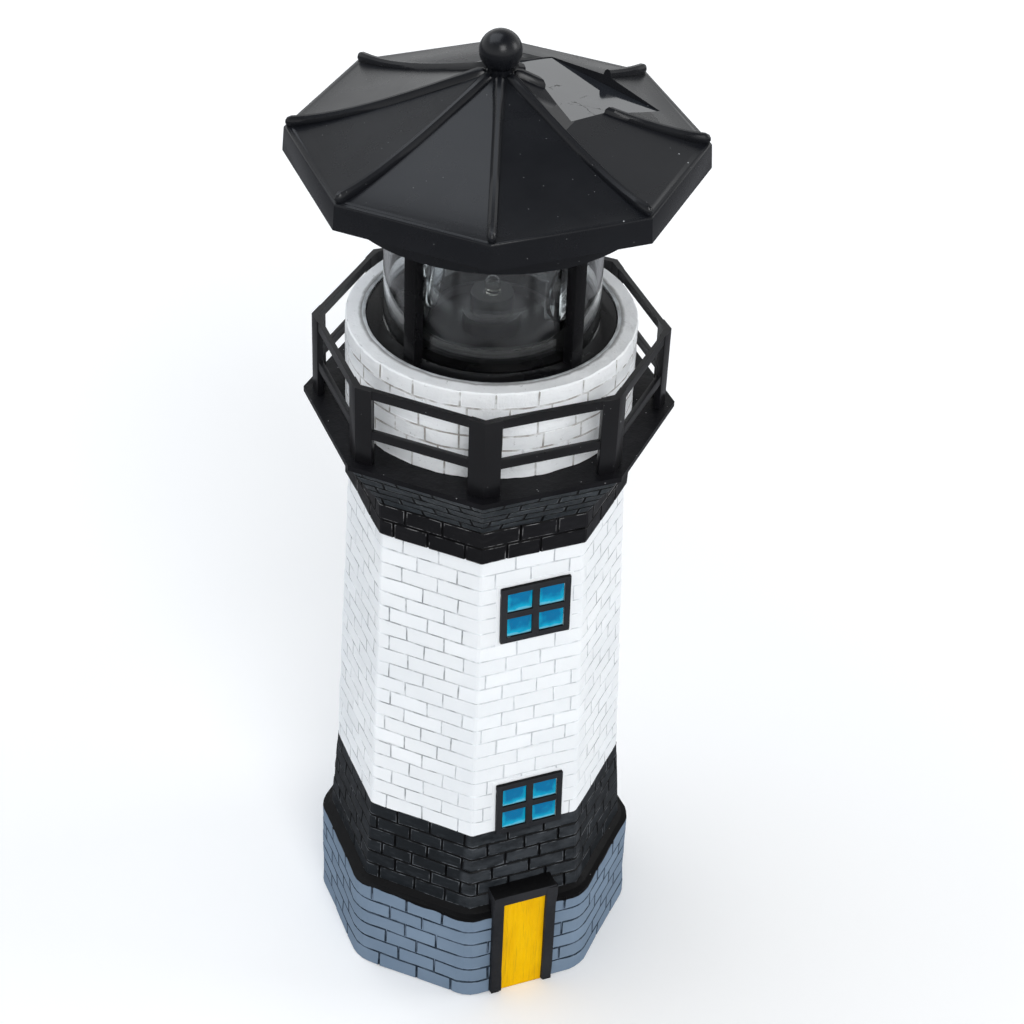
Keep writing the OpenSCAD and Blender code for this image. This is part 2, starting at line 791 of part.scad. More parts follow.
// A rod along x, from x0 to x1, on the cell's axis
module cell_rod(r, x0, x1) {
    translate([x0, cell_y, cell_z]) rotate([0, 90, 0]) cylinder(r = r, h = x1 - x0, $fn = 64);
}

module battery() {
    color("seagreen") {
        cell_rod(cell_r, cell_x0, cell_x0 + cell_body_l);
        cell_rod(cell_stud_r, cell_x0 + cell_body_l - over, cell_x1);
    }
}

module battery_contacts() {
    color("silver") {
        translate([cell_x1, cell_y - contact_w / 2, cover_top])
            cube([contact_t, contact_w, 2 * cell_r + 1]);
        translate([cell_x0 - spring_l - contact_t, cell_y - contact_w / 2, cover_top])
            cube([contact_t, contact_w, 2 * cell_r + 1]);
        cell_rod(3, cell_x0 - spring_l - 0.01, cell_x0 - spring_l / 2);
        cell_rod(1.8, cell_x0 - spring_l / 2 - 0.01, cell_x0);
    }
}

lid_l = cell_l + 3;
lid_w = 2 * cell_r + 2;
lid_t = 1.6;
lid_seat = 2.4;         // width of the seats that the lid's ends lie on
lug_l = 5.4;
lug_w = 7;
lid_screw_r = 1;
lid_screw_x = lid_l / 2 + lug_l / 2;
lid_boss_r = 2.6;
lid_boss_h = 4;
cell_wall_t = 1.2;
cell_wall_h = 9;
switch_x = -14;
switch_y = 14;
switch_w = 12;
switch_d = 6;
switch_h = 5;
stem_w = 3;
stem_d = 2.6;
knob_w = 5;
knob_d = 4.2;
knob_h = 2;
slot_w = switch_travel + stem_w + 1;
slot_d = stem_d + 0.6;

// Outline of the battery door, with the lug that its screw goes through
module lid_outline(gap) {
    translate([-lid_l / 2 + gap, -lid_w / 2 + gap]) square([lid_l - 2 * gap, lid_w - 2 * gap]);
    translate([0, -lug_w / 2 + gap]) square([lid_l / 2 + lug_l - gap, lug_w - 2 * gap]);
}

module housing_cover() {
    color([0.12, 0.12, 0.12]) difference() {
        union() {
            rod(housing_r, cover_z, cover_top, round_fn);
            for (s = [-1, 1]) {
                translate([0, cell_y + s * (lid_w + cell_wall_t) / 2, 0])
                    block(lid_l - 2 * lid_seat, cell_wall_t, cover_top - over, cover_top + cell_wall_h);
            }
            for (x = [cell_x1 + contact_t, cell_x0 - spring_l - contact_t - end_wall]) {
                translate([x, cell_y - contact_w / 2, cover_top - over])
                    cube([end_wall, contact_w, 2 * cell_r + over]);
            }
            translate([lid_screw_x, cell_y, 0]) rod(lid_boss_r, cover_top - over, cover_top + lid_boss_h);
        }
        translate([0, cell_y, 0])
            block(lid_l - 2 * lid_seat, lid_w, cover_z - over, cover_top + over);
        translate([0, cell_y, cover_z - over]) linear_extrude(lid_t + over) lid_outline(0);
        translate([switch_x, switch_y, 0]) block(slot_w, slot_d, cover_z - over, cover_top + over);
        on_bearings(cover_boss_bearings, cover_boss_at)
            rod(cover_screw_r + screw_clear, cover_z - over, cover_top + over);
        translate([lid_screw_x, cell_y, 0])
            rod(lid_screw_r + screw_clear, cover_z, cover_top + lid_boss_h - 1);
    }
}

module cover_screws() {
    color("silver") on_bearings(cover_boss_bearings, cover_boss_at)
        screw(2.2, 1.4, cover_screw_r, cover_t + cover_screw_l, cover_z, 1);
}

module battery_door() {
    grip_step = 2;
    color([0.15, 0.15, 0.15]) difference() {
        translate([0, cell_y, cover_z]) linear_extrude(lid_t) lid_outline(pocket_clear);
        translate([lid_screw_x, cell_y, 0])
            rod(lid_screw_r + screw_clear, cover_z - over, cover_z + lid_t + over);
        for (i = [-2 : 2]) {
            translate([-lid_l / 4 + i * grip_step, cell_y, 0])
                block(grip_step / 2, lid_w * 0.6, cover_z - over, cover_z + lid_t / 3);
        }
    }
}

module battery_door_screw() {
    color("silver") translate([lid_screw_x, cell_y, 0])
        screw(1.9, 1.2, lid_screw_r, cover_t + lid_boss_h - 1.5, cover_z, 1);
}

module switch_body() {
    color("silver") translate([switch_x, switch_y, 0]) difference() {
        block(switch_w, switch_d, cover_top, cover_top + switch_h);
        block(slot_w, slot_d, cover_top - over, cover_top + switch_h / 2);
    }
}

module switch_knob() {
    off_x = switch_x - switch_travel / 2;
    color("white") translate([off_x, switch_y, 0]) {
        block(stem_w, stem_d, cover_z - face_clear - over, cover_top + switch_h / 2 - face_clear);
        difference() {
            block(knob_w, knob_d, cover_z - face_clear - knob_h, cover_z - face_clear);
            for (i = [-1 : 1]) {
                translate([i * 1.4, 0, 0])
                    block(0.6, knob_d + 1, cover_z - face_clear - knob_h - over,
                          cover_z - face_clear - knob_h + 0.5);
            }
        }
    }
}

// ---- optic and its drive -------------------------------------------------------------------

gear_add = 0.8 * gear_module;
gear_ded = 1.05 * gear_module;
flank_steps = 3;

function involute_angle(a) = tan(a) * 180 / PI - a;
// Half the angle that a tooth fills at radius r
function tooth_half(teeth, r) =
    let (pitch_r = gear_module * teeth / 2, base_r = pitch_r * cos(gear_pressure))
    90 / teeth - gear_play / 4 / pitch_r * 180 / PI + involute_angle(gear_pressure)
        - involute_angle(acos(min(1, base_r / max(r, base_r))));
function flank_r(teeth, i) =
    let (root = gear_module * teeth / 2 - gear_ded)
    root + (gear_add + gear_ded) * i / flank_steps;
function gear_outline(teeth) = [
    for (k = [0 : teeth - 1], i = [0 : 2 * flank_steps + 1])
        let (up = i <= flank_steps, r = flank_r(teeth, up ? i : 2 * flank_steps + 1 - i),
             a = 360 * k / teeth + (up ? -1 : 1) * tooth_half(teeth, r))
        [r * cos(a), r * sin(a)]];

hub_z = inner_deck_top + shoulder_t + 0.1;
hub_up = 6;             // the hub stands this far above the disc
gear_rim = 3;           // from the gear's pitch circle in to its hollow
gear_z = hub_z + 0.4;
disc_lip = 0.3;         // the disc stands out past the lens drum
disc_z = gear_z + gear_t;
disc_t = 2;
disc_top = disc_z + disc_t;
hub_r = post_r + 2.6;
spigot_out = optic_r - optic_wall - groove_clear;
spigot_wall = 1.6;
spigot_h = 2.6;

// Gear, disc and spigot in one moulding; the long hub turns on the lamp post
module optic_turntable() {
    gear_in_r = gear_module * gear_teeth / 2 - gear_rim;
    color([0.2, 0.2, 0.2]) difference() {
        union() {
            difference() {
                union() {
                    translate([0, 0, gear_z]) linear_extrude(gear_t + 0.01)
                        polygon(gear_outline(gear_teeth));
                    rod(optic_r + disc_lip, disc_z, disc_top, round_fn);
                    rod(spigot_out, disc_top - over, disc_top + spigot_h, round_fn);
                }
                rod(spigot_out - spigot_wall, disc_top, disc_top + spigot_h + over, round_fn);
                rod(gear_in_r, gear_z - over, disc_z, round_fn);
            }
            rod(hub_r, hub_z, disc_top + hub_up, 64);
        }
        rod(post_r + run_clear, hub_z - over, disc_top + hub_up + over, 64);
    }
}

lens_z = disc_top + optic_h * 0.56;
lens_back = sqrt(pow(optic_r - optic_wall, 2) - pow(lens_r, 2)) - 0.4;
lens_front = optic_r + lens_bulge;
lens_rim = optic_r - 1;

// Places children on a lens's axis, with z pointing out
module on_lens_axis(k) {
    rotate(lens_bearing + 180 * k) translate([0, 0, lens_z]) rotate([0, 90, 0]) children();
}

module lens_drum() {
    color([0.9, 0.95, 1, 0.4]) difference() {
        ring(optic_r, optic_r - optic_wall, disc_top, disc_top + optic_h);
        for (k = [0, 1]) {
            on_lens_axis(k) cylinder(r = lens_r + pocket_clear, h = optic_r * 2, $fn = 64);
        }
    }
}

// Plano-convex lens with a cylindrical rim and a stepped ring
module bullseye_lenses() {
    bulge = lens_front - lens_rim;
    ball = (lens_r * lens_r + bulge * bulge) / (2 * bulge);
    color([0.9, 0.95, 1, 0.5]) for (k = [0, 1]) {
        on_lens_axis(k) rotate_extrude($fn = 64) intersection() {
            union() {
                translate([0, lens_front - ball]) circle(r = ball, $fn = 180);
                translate([0, lens_back]) square([lens_r, lens_rim - lens_back]);
            }
            translate([0, lens_back]) square([lens_r, lens_front - lens_back + 1]);
        }
    }
}

module motor_pinion() {
    pinion_top = disc_z - face_clear;
    pinion_z = inner_deck_top + 0.6 + face_clear;
    color("gold") translate([0, motor_y, 0]) {
        rod(motor_shaft_r, motor_top - 3.6, pinion_z + over);
        translate([0, 0, pinion_z]) linear_extrude(pinion_top - pinion_z)
            rotate(180 / pinion_teeth - 90) polygon(gear_outline(pinion_teeth));
    }
}

tower_casting();
railing();
roof_shell();
finial_ball();
solar_panel();
roof_tray();
roof_screws();
column_screws();
lamp_frame();
lamp_cylinder();
drive_housing();
frame_screws();
led_post();
led_lamp();
circuit_board();
motor();
battery();
battery_contacts();
housing_cover();
cover_screws();
battery_door();
battery_door_screw();
switch_body();
optic_turntable();
lens_drum();
bullseye_lenses();
motor_pinion();
switch_knob();
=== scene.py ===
"""Looks of the garden lighthouse ornament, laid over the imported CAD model."""
import math
import random

import bmesh
import bpy
from mathutils import Matrix, Vector, noise


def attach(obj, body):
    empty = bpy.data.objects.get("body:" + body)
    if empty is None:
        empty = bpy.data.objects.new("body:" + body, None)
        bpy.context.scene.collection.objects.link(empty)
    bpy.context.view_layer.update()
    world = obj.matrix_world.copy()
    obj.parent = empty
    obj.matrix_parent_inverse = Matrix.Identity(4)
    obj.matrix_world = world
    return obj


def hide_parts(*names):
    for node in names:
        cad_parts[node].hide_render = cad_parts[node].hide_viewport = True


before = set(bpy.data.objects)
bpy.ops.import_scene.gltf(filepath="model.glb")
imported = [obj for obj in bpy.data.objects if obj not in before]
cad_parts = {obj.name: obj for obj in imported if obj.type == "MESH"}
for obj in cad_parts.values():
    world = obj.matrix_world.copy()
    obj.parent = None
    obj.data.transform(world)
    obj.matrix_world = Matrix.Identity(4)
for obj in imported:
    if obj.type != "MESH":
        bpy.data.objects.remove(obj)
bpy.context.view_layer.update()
noise.seed_set(2)                        # noise_vector would start from the clock otherwise

MM = 0.001
SIDE = 45                                # degrees that one side of an octagon takes up
HALF_SIDE = math.radians(SIDE / 2)
FLAT = math.cos(HALF_SIDE)               # an octagon's distance to a flat, over its corner radius

# Levels and corner radii of the tower, in millimetres, as in the CAD
PLINTH_TOP, LEDGE_Z, BELT_Z, BAND_Z, CORBEL_Z = 39.5, 41.5, 75.5, 194.9, 207.5
LIP_Z, DECK_Z, DRUM_Z = 227.0, 228.9, 261.0
PLINTH_R, FOOT_R, BELT_R, SHAFT_R = 57.9, 53.6, 51.0, 46.4
BAND_R, CORBEL_R, DRUM_R = 47.4, 59.9, 46.9
FLANGE_SEAT_R = 42.1                     # radius of the recess in the drum's top
ROOF_R, FASCIA_Z, EAVE_Z = 65.7, 316.7, 325.2
RAIL_Z = 257.5                           # top of the railing
DOOR_X, WINDOW_X = -1.5, 1.2             # how far the door and the windows sit off the middle
RELIEF = 0.4                             # how far the bricks stand out of the casting
WALL_OUT = RELIEF / FLAT                 # the same, at an octagon's corners
HAND_WAVER = 0.26, 4.0                   # how far cast edges stray, and over what length
WALL_LEAN = math.atan((BELT_R - SHAFT_R) * FLAT / (BAND_Z - BELT_Z))


# ---- mesh helpers ---------------------------------------------------------------------------

def finished(name, bm, materials, body, smooth_angle=30, mended=True):
    """Turns a bmesh into an object that rides on a body."""
    if mended:
        bmesh.ops.recalc_face_normals(bm, faces=bm.faces)
    mesh = bpy.data.meshes.new(name)
    bm.to_mesh(mesh)
    bm.free()
    for material in materials:
        mesh.materials.append(material)
    mesh.shade_smooth()
    mesh.set_sharp_from_angle(angle=math.radians(smooth_angle))
    piece = bpy.data.objects.new(name, mesh)
    bpy.context.scene.collection.objects.link(piece)
    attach(piece, body)
    return piece


def wander(bm, verts, amount, size, seed=0.0):
    """Moves vertices a little by smooth noise, as a hand-finished surface does."""
    shift = Vector((seed, seed * 0.7, -seed))
    for v in verts:
        v.co += noise.noise_vector(v.co / (size * MM) + shift) * amount * MM


def verts_of(geom):
    return [g for g in geom if isinstance(g, bmesh.types.BMVert)]


def bevel(bm, geom, width, segments=2, affect="EDGES"):
    """Bevels edges or corners by a width in millimetres, and gives the new faces."""
    return bmesh.ops.bevel(bm, geom=geom, offset=width * MM, offset_type="OFFSET", segments=segments,
                           profile=0.5, affect=affect, clamp_overlap=True, material=-1)["faces"]


def softened(node, width, angle=25, least=0.0, pick=lambda edge: True):
    """A merged copy of a CAD node with its crisp edges rounded."""
    bm = bmesh.new()
    bm.from_mesh(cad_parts[node].data)
    bmesh.ops.remove_doubles(bm, verts=bm.verts, dist=0.002 * MM)
    bmesh.ops.dissolve_limit(bm, angle_limit=math.radians(0.4), verts=bm.verts, edges=bm.edges,
                             use_dissolve_boundaries=False)
    limit = math.radians(angle)
    bevel(bm, [e for e in bm.edges if len(e.link_faces) == 2 and e.calc_length() > least * MM
               and e.calc_face_angle(0.0) > limit and pick(e)], width)
    return bm


def octagon_loop(bm, corner_r, z, rounding):
    """Edges of an octagon with rounded corners at level z."""
    made = bmesh.ops.create_circle(bm, cap_ends=True, segments=8, radius=corner_r * MM,
                                   matrix=Matrix.Translation((0, 0, z * MM))
                                   @ Matrix.Rotation(HALF_SIDE, 4, "Z"))
    bevel(bm, made["verts"], rounding, 3 if rounding > 2 else 1, "VERTICES")
    bmesh.ops.delete(bm, geom=list(bm.faces), context="FACES_ONLY")
    return list(bm.edges)


def circle_loop(bm, radius, z, segments):
    """Edges of a circle at level z."""
    bmesh.ops.create_circle(bm, cap_ends=False, segments=segments, radius=radius * MM,
                            matrix=Matrix.Translation((0, 0, z * MM)))
    return list(bm.edges)


def raise_wall(bm, loop, outline):
    """Extrudes a loop of edges through an outline of [radius, height] points."""
    for (r0, z0), (r1, z1) in zip(outline, outline[1:]):
        out = bmesh.ops.extrude_edge_only(bm, edges=loop)["geom"]
        verts = verts_of(out)
        bmesh.ops.scale(bm, vec=(r1 / r0, r1 / r0, 1), verts=verts)
        bmesh.ops.translate(bm, vec=(0, 0, (z1 - z0) * MM), verts=verts)
        raised = set(verts)
        loop = [g for g in out if isinstance(g, bmesh.types.BMEdge) and raised.issuperset(g.verts)]


def face_outwards(bm):
    """Turns all faces of a wall away from its axis."""
    bmesh.ops.recalc_face_normals(bm, faces=bm.faces)
    if sum(f.normal.dot(Vector((*f.calc_center_median().xy, 0))) for f in bm.faces) < 0:
        bmesh.ops.reverse_faces(bm, faces=bm.faces)


def bearing(point):
    return math.degrees(math.atan2(point.y, point.x)) % 360


# ---- brickwork ------------------------------------------------------------------------------

def course_cuts(bm, levels):
    """Cuts the wall level at every course and marks the cuts as joints."""
    for z in levels:
        bmesh.ops.bisect_plane(bm, geom=list(bm.verts) + list(bm.edges) + list(bm.faces),
                               dist=1e-6, plane_co=(0, 0, z * MM), plane_no=(0, 0, 1))
    for e in bm.edges:
        if any(all(abs(v.co.z - z * MM) < 2e-6 for v in e.verts) for z in levels):
            e.seam = True


def upright_cuts(bm, levels, length, rng, clear):
    """Cuts upright joints into every course of an octagonal wall, clear of its corners."""
    cells = {}
    for f in bm.faces:
        middle = f.calc_center_median()
        row = next((i for i in range(len(levels) - 1)
                    if levels[i] * MM < middle.z < levels[i + 1] * MM), None)
        if row is not None:
            side = int(((bearing(middle) + SIDE / 2) % 360) // SIDE)
            cells.setdefault((row, side), []).append(f)
    course_stray, brick_stray, round_corner = 0.12, 0.07, 4.1
    drift = rng.uniform(0, length)
    for row in range(len(levels) - 1):
        drift += length / 2 + rng.uniform(-course_stray, course_stray) * length
        for side in range(8):
            faces = cells.get((row, side), [])
            if not faces:
                continue
            turn = math.radians(SIDE * side)
            along = Vector((-math.sin(turn), math.cos(turn), 0))
            spread = [v.co.dot(along) / MM for f in faces for v in f.verts]
            half = (max(spread) - min(spread)) / 2
            at = -half + (drift + side * round_corner) % length
            geom = faces + [e for f in faces for e in f.edges] + [v for f in faces for v in f.verts]
            while at < half:
                spot = at + rng.uniform(-brick_stray, brick_stray) * length
                at += length
                if abs(spot) > half - clear:
                    continue
                out = bmesh.ops.bisect_plane(bm, geom=list(dict.fromkeys(geom)), dist=1e-6,
                                             plane_co=along * spot * MM, plane_no=along)
                geom = out["geom"]
                for g in out["geom_cut"]:
                    if isinstance(g, bmesh.types.BMEdge):
                        g.seam = True


def ring_joints(bm, levels, segments, per_brick, rng):
    """Marks upright joints among a round wall's own edges, in running bond."""
    step = 360 / segments
    for row in range(len(levels) - 1):
        marks, at = set(), (row % 2) * per_brick // 2 + rng.randint(-1, 1)
        start = at
        while at < start + segments - per_brick // 2:
            marks.add(at % segments)
            at += per_brick + rng.choice((-1, 0, 0, 0, 1))
        for e in bm.edges:
            a, b = e.verts
            if abs(a.co.z - b.co.z) < 0.5 * MM:
                continue
            z = (a.co.z + b.co.z) / 2
            in_row = levels[row] * MM < z < levels[row + 1] * MM
            if in_row and round(bearing(a.co) / step) % segments in marks:
                e.seam = True


def cut_joints(bm, groove, depth, lip, lip_rise, lift):
    """Turns the marked joints into grooves, gives each brick a soft lip and its own small lift."""
    bm.faces.layers.float.new("joint")
    bm.faces.layers.float.new("tone")
    joint_faces = set(bevel(bm, [e for e in bm.edges if e.seam], groove / 2))
    bm.normal_update()
    sideways = Vector((1, 1, 0.3))            # joints sink towards the axis more than downwards
    for v in [v for v in bm.verts if v.link_faces and joint_faces.issuperset(v.link_faces)]:
        v.co -= (v.normal * sideways).normalized() * depth * MM
    bricks = [f for f in bm.faces if f not in joint_faces]
    lips = set(bmesh.ops.inset_region(bm, faces=bricks, use_boundary=True, use_even_offset=True,
                                      thickness=lip * MM, depth=lip_rise * MM)["faces"])
    joint, tone = bm.faces.layers.float["joint"], bm.faces.layers.float["tone"]
    left = set()
    for f in bm.faces:
        if f in joint_faces:
            f[joint] = 1.0
        elif f in lips:
            f[joint] = 0.5
        else:
            left.add(f)
    bm.normal_update()
    for first in bm.faces:
        if first not in left:
            continue
        left.discard(first)
        brick, queue = [], [first]
        while queue:
            f = queue.pop()
            brick.append(f)
            for e in f.edges:
                for g in e.link_faces:
                    if g in left:
                        left.discard(g)
                        queue.append(g)
        middle = sum((f.calc_center_median() for f in brick), Vector()) / len(brick)
        value = noise.cell(middle / (2.3 * MM))
        for f in brick:
            f[tone] = value
        push = lift * (value - 0.5) * MM
        for v in {v for f in brick for v in f.verts}:
            v.co += Vector((v.normal.x, v.normal.y, 0)) * push


def tuck_in(bm, factor):
    """Turns the wall's open rims in towards the casting."""
    rims = [e for e in bm.edges if e.is_boundary]
    out = bmesh.ops.extrude_edge_only(bm, edges=rims)["geom"]
    bmesh.ops.scale(bm, vec=(factor, factor, 1), verts=verts_of(out))


def brick_wall(name, outline, levels, length, seed, rounding, groove, depth, materials, paint=None,
               swell=None, lip=0.24):
    """An octagonal wall of bricks over an outline of [corner radius, height] points."""
    bm = bmesh.new()
    foot = outline[0][1]
    raise_wall(bm, octagon_loop(bm, outline[0][0], foot, rounding), outline)
    course_cuts(bm, [z for z in levels[:-1] if z > foot + 0.1])
    upright_cuts(bm, levels, length, random.Random(seed), max(2.2, rounding + 1.0))
    face_outwards(bm)
    cut_joints(bm, groove, depth, lip, lip_rise=0.07, lift=0.12)
    wander(bm, bm.verts, *HAND_WAVER, seed)
    if swell:
        for v in bm.verts:
            v.co += Vector((v.co.x, v.co.y, 0)).normalized() * swell(v.co) * MM
    tuck_in(bm, 0.975)
    if paint:
        for f in bm.faces:
            f.material_index = paint(f.calc_center_median())
    return finished(name, bm, materials, "tower", smooth_angle=9, mended=False)


def even_levels(low, high, courses):
    """Heights of the joints between even courses."""
    return [low + i * (high - low) / courses for i in range(courses + 1)]


def plinth_bricks():
    """The plinth with its ledge, in one skin from the floor to the shaft."""
    foot, rim = 0.3, PLINTH_TOP + 0.05
    outline = [[PLINTH_R + WALL_OUT, foot], [PLINTH_R + WALL_OUT, rim],
               [PLINTH_R - 1.6, PLINTH_TOP + 0.6], [FOOT_R + 0.1, LEDGE_Z + 0.3]]
    return brick_wall("plinth_bricks", outline, even_levels(foot, rim, 6), 14.0, seed=5, rounding=4.3,
                      groove=0.95, depth=0.5, materials=[plinth_paint()], swell=wavy_foot)


def wavy_foot(co):
    """How far the plinth's foot swells outwards, in millimetres."""
    low = max(0.0, 1 - co.z / (14 * MM))
    return low * (0.35 + 0.75 * noise.noise(co / (13 * MM)))


def dark_bricks():
    """Black courses between the ledge and the white shaft."""
    foot = LEDGE_Z + 0.1
    outline = [[FOOT_R + WALL_OUT, foot], [BELT_R + WALL_OUT, BELT_Z]]
    return brick_wall("dark_bricks", outline, even_levels(foot, BELT_Z, 6), 13.2, seed=8, rounding=0.5,
                      groove=0.85, depth=0.5, materials=[black_brick_paint()], lip=0.3)


def shaft_bricks():
    """White courses of the shaft."""
    outline = [[BELT_R + WALL_OUT, BELT_Z], [SHAFT_R + WALL_OUT, BAND_Z]]
    return brick_wall("shaft_bricks", outline, even_levels(BELT_Z, BAND_Z, 20), 13.2, seed=9,
                      rounding=0.5, groove=0.55, depth=0.36, materials=[white_paint()])


def corbel_bricks():
    """Two tall courses on the upright band, and five on the corbel's slope."""
    levels = [BAND_Z, BAND_Z + 6.1] + even_levels(CORBEL_Z, LIP_Z, 5)
    outline = [[BAND_R + WALL_OUT, BAND_Z], [BAND_R + WALL_OUT, CORBEL_Z],
               [CORBEL_R + WALL_OUT, LIP_Z - 0.05]]
    return brick_wall("corbel_bricks", outline, levels, 13.0, seed=3, rounding=0.4,
                      groove=0.95, depth=0.55, materials=[charcoal_paint(), band_paint()],
                      paint=lambda middle: 1 if middle.z < (CORBEL_Z - 0.05) * MM else 0)


def drum_bricks():
    """The round drum's bricks up to its rim, and the rim's flat top."""
    segments, per_brick, course = 132, 6, 5.3        # facets round the drum and in a brick
    foot, rim, out_r = DECK_Z + 0.1, DRUM_Z - 0.3, DRUM_R + RELIEF
    levels = [foot + i * course for i in range(6)]
    outline = [[out_r, foot], [out_r, rim], [out_r - 0.45, DRUM_Z + 0.15],
               [FLANGE_SEAT_R + 0.3, DRUM_Z + 0.2]]
    bm = bmesh.new()
    raise_wall(bm, circle_loop(bm, out_r, foot, segments), outline)
    course_cuts(bm, levels[1:])
    ring_joints(bm, levels + [rim], segments, per_brick, random.Random(12))
    face_outwards(bm)
    cut_joints(bm, groove=0.66, depth=0.3, lip=0.3, lip_rise=0.06, lift=0.16)
    wander(bm, bm.verts, *HAND_WAVER, 3.0)
    tuck_in(bm, 0.985)
    return finished("drum_bricks", bm, [drum_paint()], "tower", smooth_angle=12,
                    mended=False)


# ---- door and windows -----------------------------------------------------------------------

def bar(bm, x0, x1, y0, y1, z0, z1, rounding, seed, stray, over):
    """A hand-finished bar: a block with soft edges and many stations, which stray a little."""
    middle = Vector((x0 + x1, y0 + y1, z0 + z1)) * MM / 2
    made = bmesh.ops.create_cube(bm, size=MM, matrix=Matrix.Translation(middle)
                                 @ Matrix.Diagonal((x1 - x0, y1 - y0, z1 - z0, 1)))
    faces = list({f for v in made["verts"] for f in v.link_faces})
    corners = list({e for v in made["verts"] for e in v.link_edges})
    whole = set(bevel(bm, corners, rounding)) | {f for f in faces if f.is_valid}
    axis, length = (0, x1 - x0) if x1 - x0 > z1 - z0 else (2, z1 - z0)
    long_edges = [e for e in {e for f in whole for e in f.edges}
                  if abs((e.verts[0].co - e.verts[1].co)[axis]) > 0.6 * length * MM]
    out = bmesh.ops.subdivide_edges(bm, edges=long_edges, cuts=9, use_grid_fill=True)
    moved = {v for g in out["geom"] if isinstance(g, bmesh.types.BMFace) for v in g.verts}
    wander(bm, moved, stray, over, seed)


def on_wall(z_mid):
    """Matrix that lays a flat piece on the front of the white shaft at level z_mid."""
    depth = BELT_R * FLAT - (BELT_R - SHAFT_R) * FLAT / (BAND_Z - BELT_Z) * (z_mid - BELT_Z)
    place = Vector((WINDOW_X, -depth, z_mid)) * MM
    return Matrix.Translation(place) @ Matrix.Rotation(-WALL_LEAN, 4, "X")


def window_frame(name, z_mid, seed):
    """Four outer bars and a cross; the pieces overlap, as thick paint does."""
    bm = bmesh.new()
    w, h, b, front, back = 12.3, 11.1, 2.2, -1.86, 0.4      # half width, half height, bar, depths
    mid = b / 2 + 0.15
    bar(bm, -w - 0.1, -w + b, front, back, -h, h, 0.35, seed, 0.3, 6.0)
    bar(bm, w - b, w + 0.1, front, back, -h, h, 0.35, seed + 1, 0.3, 6.0)
    bar(bm, -w - 0.1, w + 0.1, front - 0.05, back, h - b, h + 0.25, 0.35, seed + 2, 0.3, 6.0)
    bar(bm, -w, w, front - 0.03, back, -h - 0.1, -h + b + 0.1, 0.35, seed + 3, 0.3, 6.0)
    bar(bm, -mid, mid, front, back, -h + 1, h - 1, 0.25, seed + 4, 0.2, 3.5)
    bar(bm, -w + 1, w - 1, front + 0.04, back, -mid, mid, 0.25, seed + 5, 0.2, 3.5)
    bm.transform(on_wall(z_mid))
    return finished(name, bm, [frame_paint()], "tower", 40)


def window_panes(name, z_mid):
    """Four panes of glossy poured colour, thicker towards their middles."""
    bm = bmesh.new()
    bm.loops.layers.uv.new("UVMap")
    half_w, half_h, away_x, away_z, depth, crown = 4.65, 4.1, 5.6, 5.05, 1.02, 0.28
    for sx in (-1, 1):
        for sz in (-1, 1):
            x, z = sx * away_x, sz * away_z
            made = bmesh.ops.create_grid(bm, x_segments=12, y_segments=12, size=1.0, calc_uvs=True,
                                         matrix=Matrix.Translation(Vector((x, -depth, z)) * MM)
                                         @ Matrix.Diagonal((half_w * MM, 1, half_h * MM, 1))
                                         @ Matrix.Rotation(math.radians(90), 4, "X"))
            for v in made["verts"]:
                u = (v.co.x / MM - x) / half_w
                t = (v.co.z / MM - z) / half_h
                v.co.y -= (crown * (1 - u ** 4) * (1 - t ** 4)) * MM
    bm.transform(on_wall(z_mid))
    return finished(name, bm, [pane_paint()], "tower", 60)


def window_margin(name, z_mid, seed):
    """Smooth border of paint between the window's frame and the bricks."""
    bm = bmesh.new()
    w, h, wide = 12.4, 11.2, 1.3
    low = max(-h - wide, BELT_Z + 0.1 - z_mid)      # no white below the paint line
    bars = [(-w - wide, -w + 1, low, h + wide), (w - 1, w + wide, low, h + wide),
            (-w, w, h - 1, h + wide)]
    if low == -h - wide:
        bars.append((-w, w, low, -h + 1))
    for x0, x1, z0, z1 in bars:
        bar(bm, x0, x1, -0.62, 0.3, z0, z1, 0.3, seed + x0, 0.2, 5.0)
    bm.transform(on_wall(z_mid))
    return finished(name, bm, [white_paint()], "tower", 40)


def door_frame():
    """Painted frame of the door: two posts and a lintel with wavering edges."""
    bm = bmesh.new()
    front, inner, outer = -(PLINTH_R * FLAT + 2.2), 8.0, 12.1
    post = front - 0.25, front + 2.6, 0.5, 49.0, 0.45
    bar(bm, DOOR_X - outer, DOOR_X - inner, *post, seed=1, stray=1.1, over=9.0)
    bar(bm, DOOR_X + inner, DOOR_X + outer, *post, seed=2, stray=1.1, over=9.0)
    bar(bm, DOOR_X - 12, DOOR_X + 12, front - 0.28, front + 9.0, 45.1, 49.6, 0.45,
        seed=3, stray=0.7, over=9.0)
    return finished("door_frame", bm, [frame_paint()], "tower", 40)


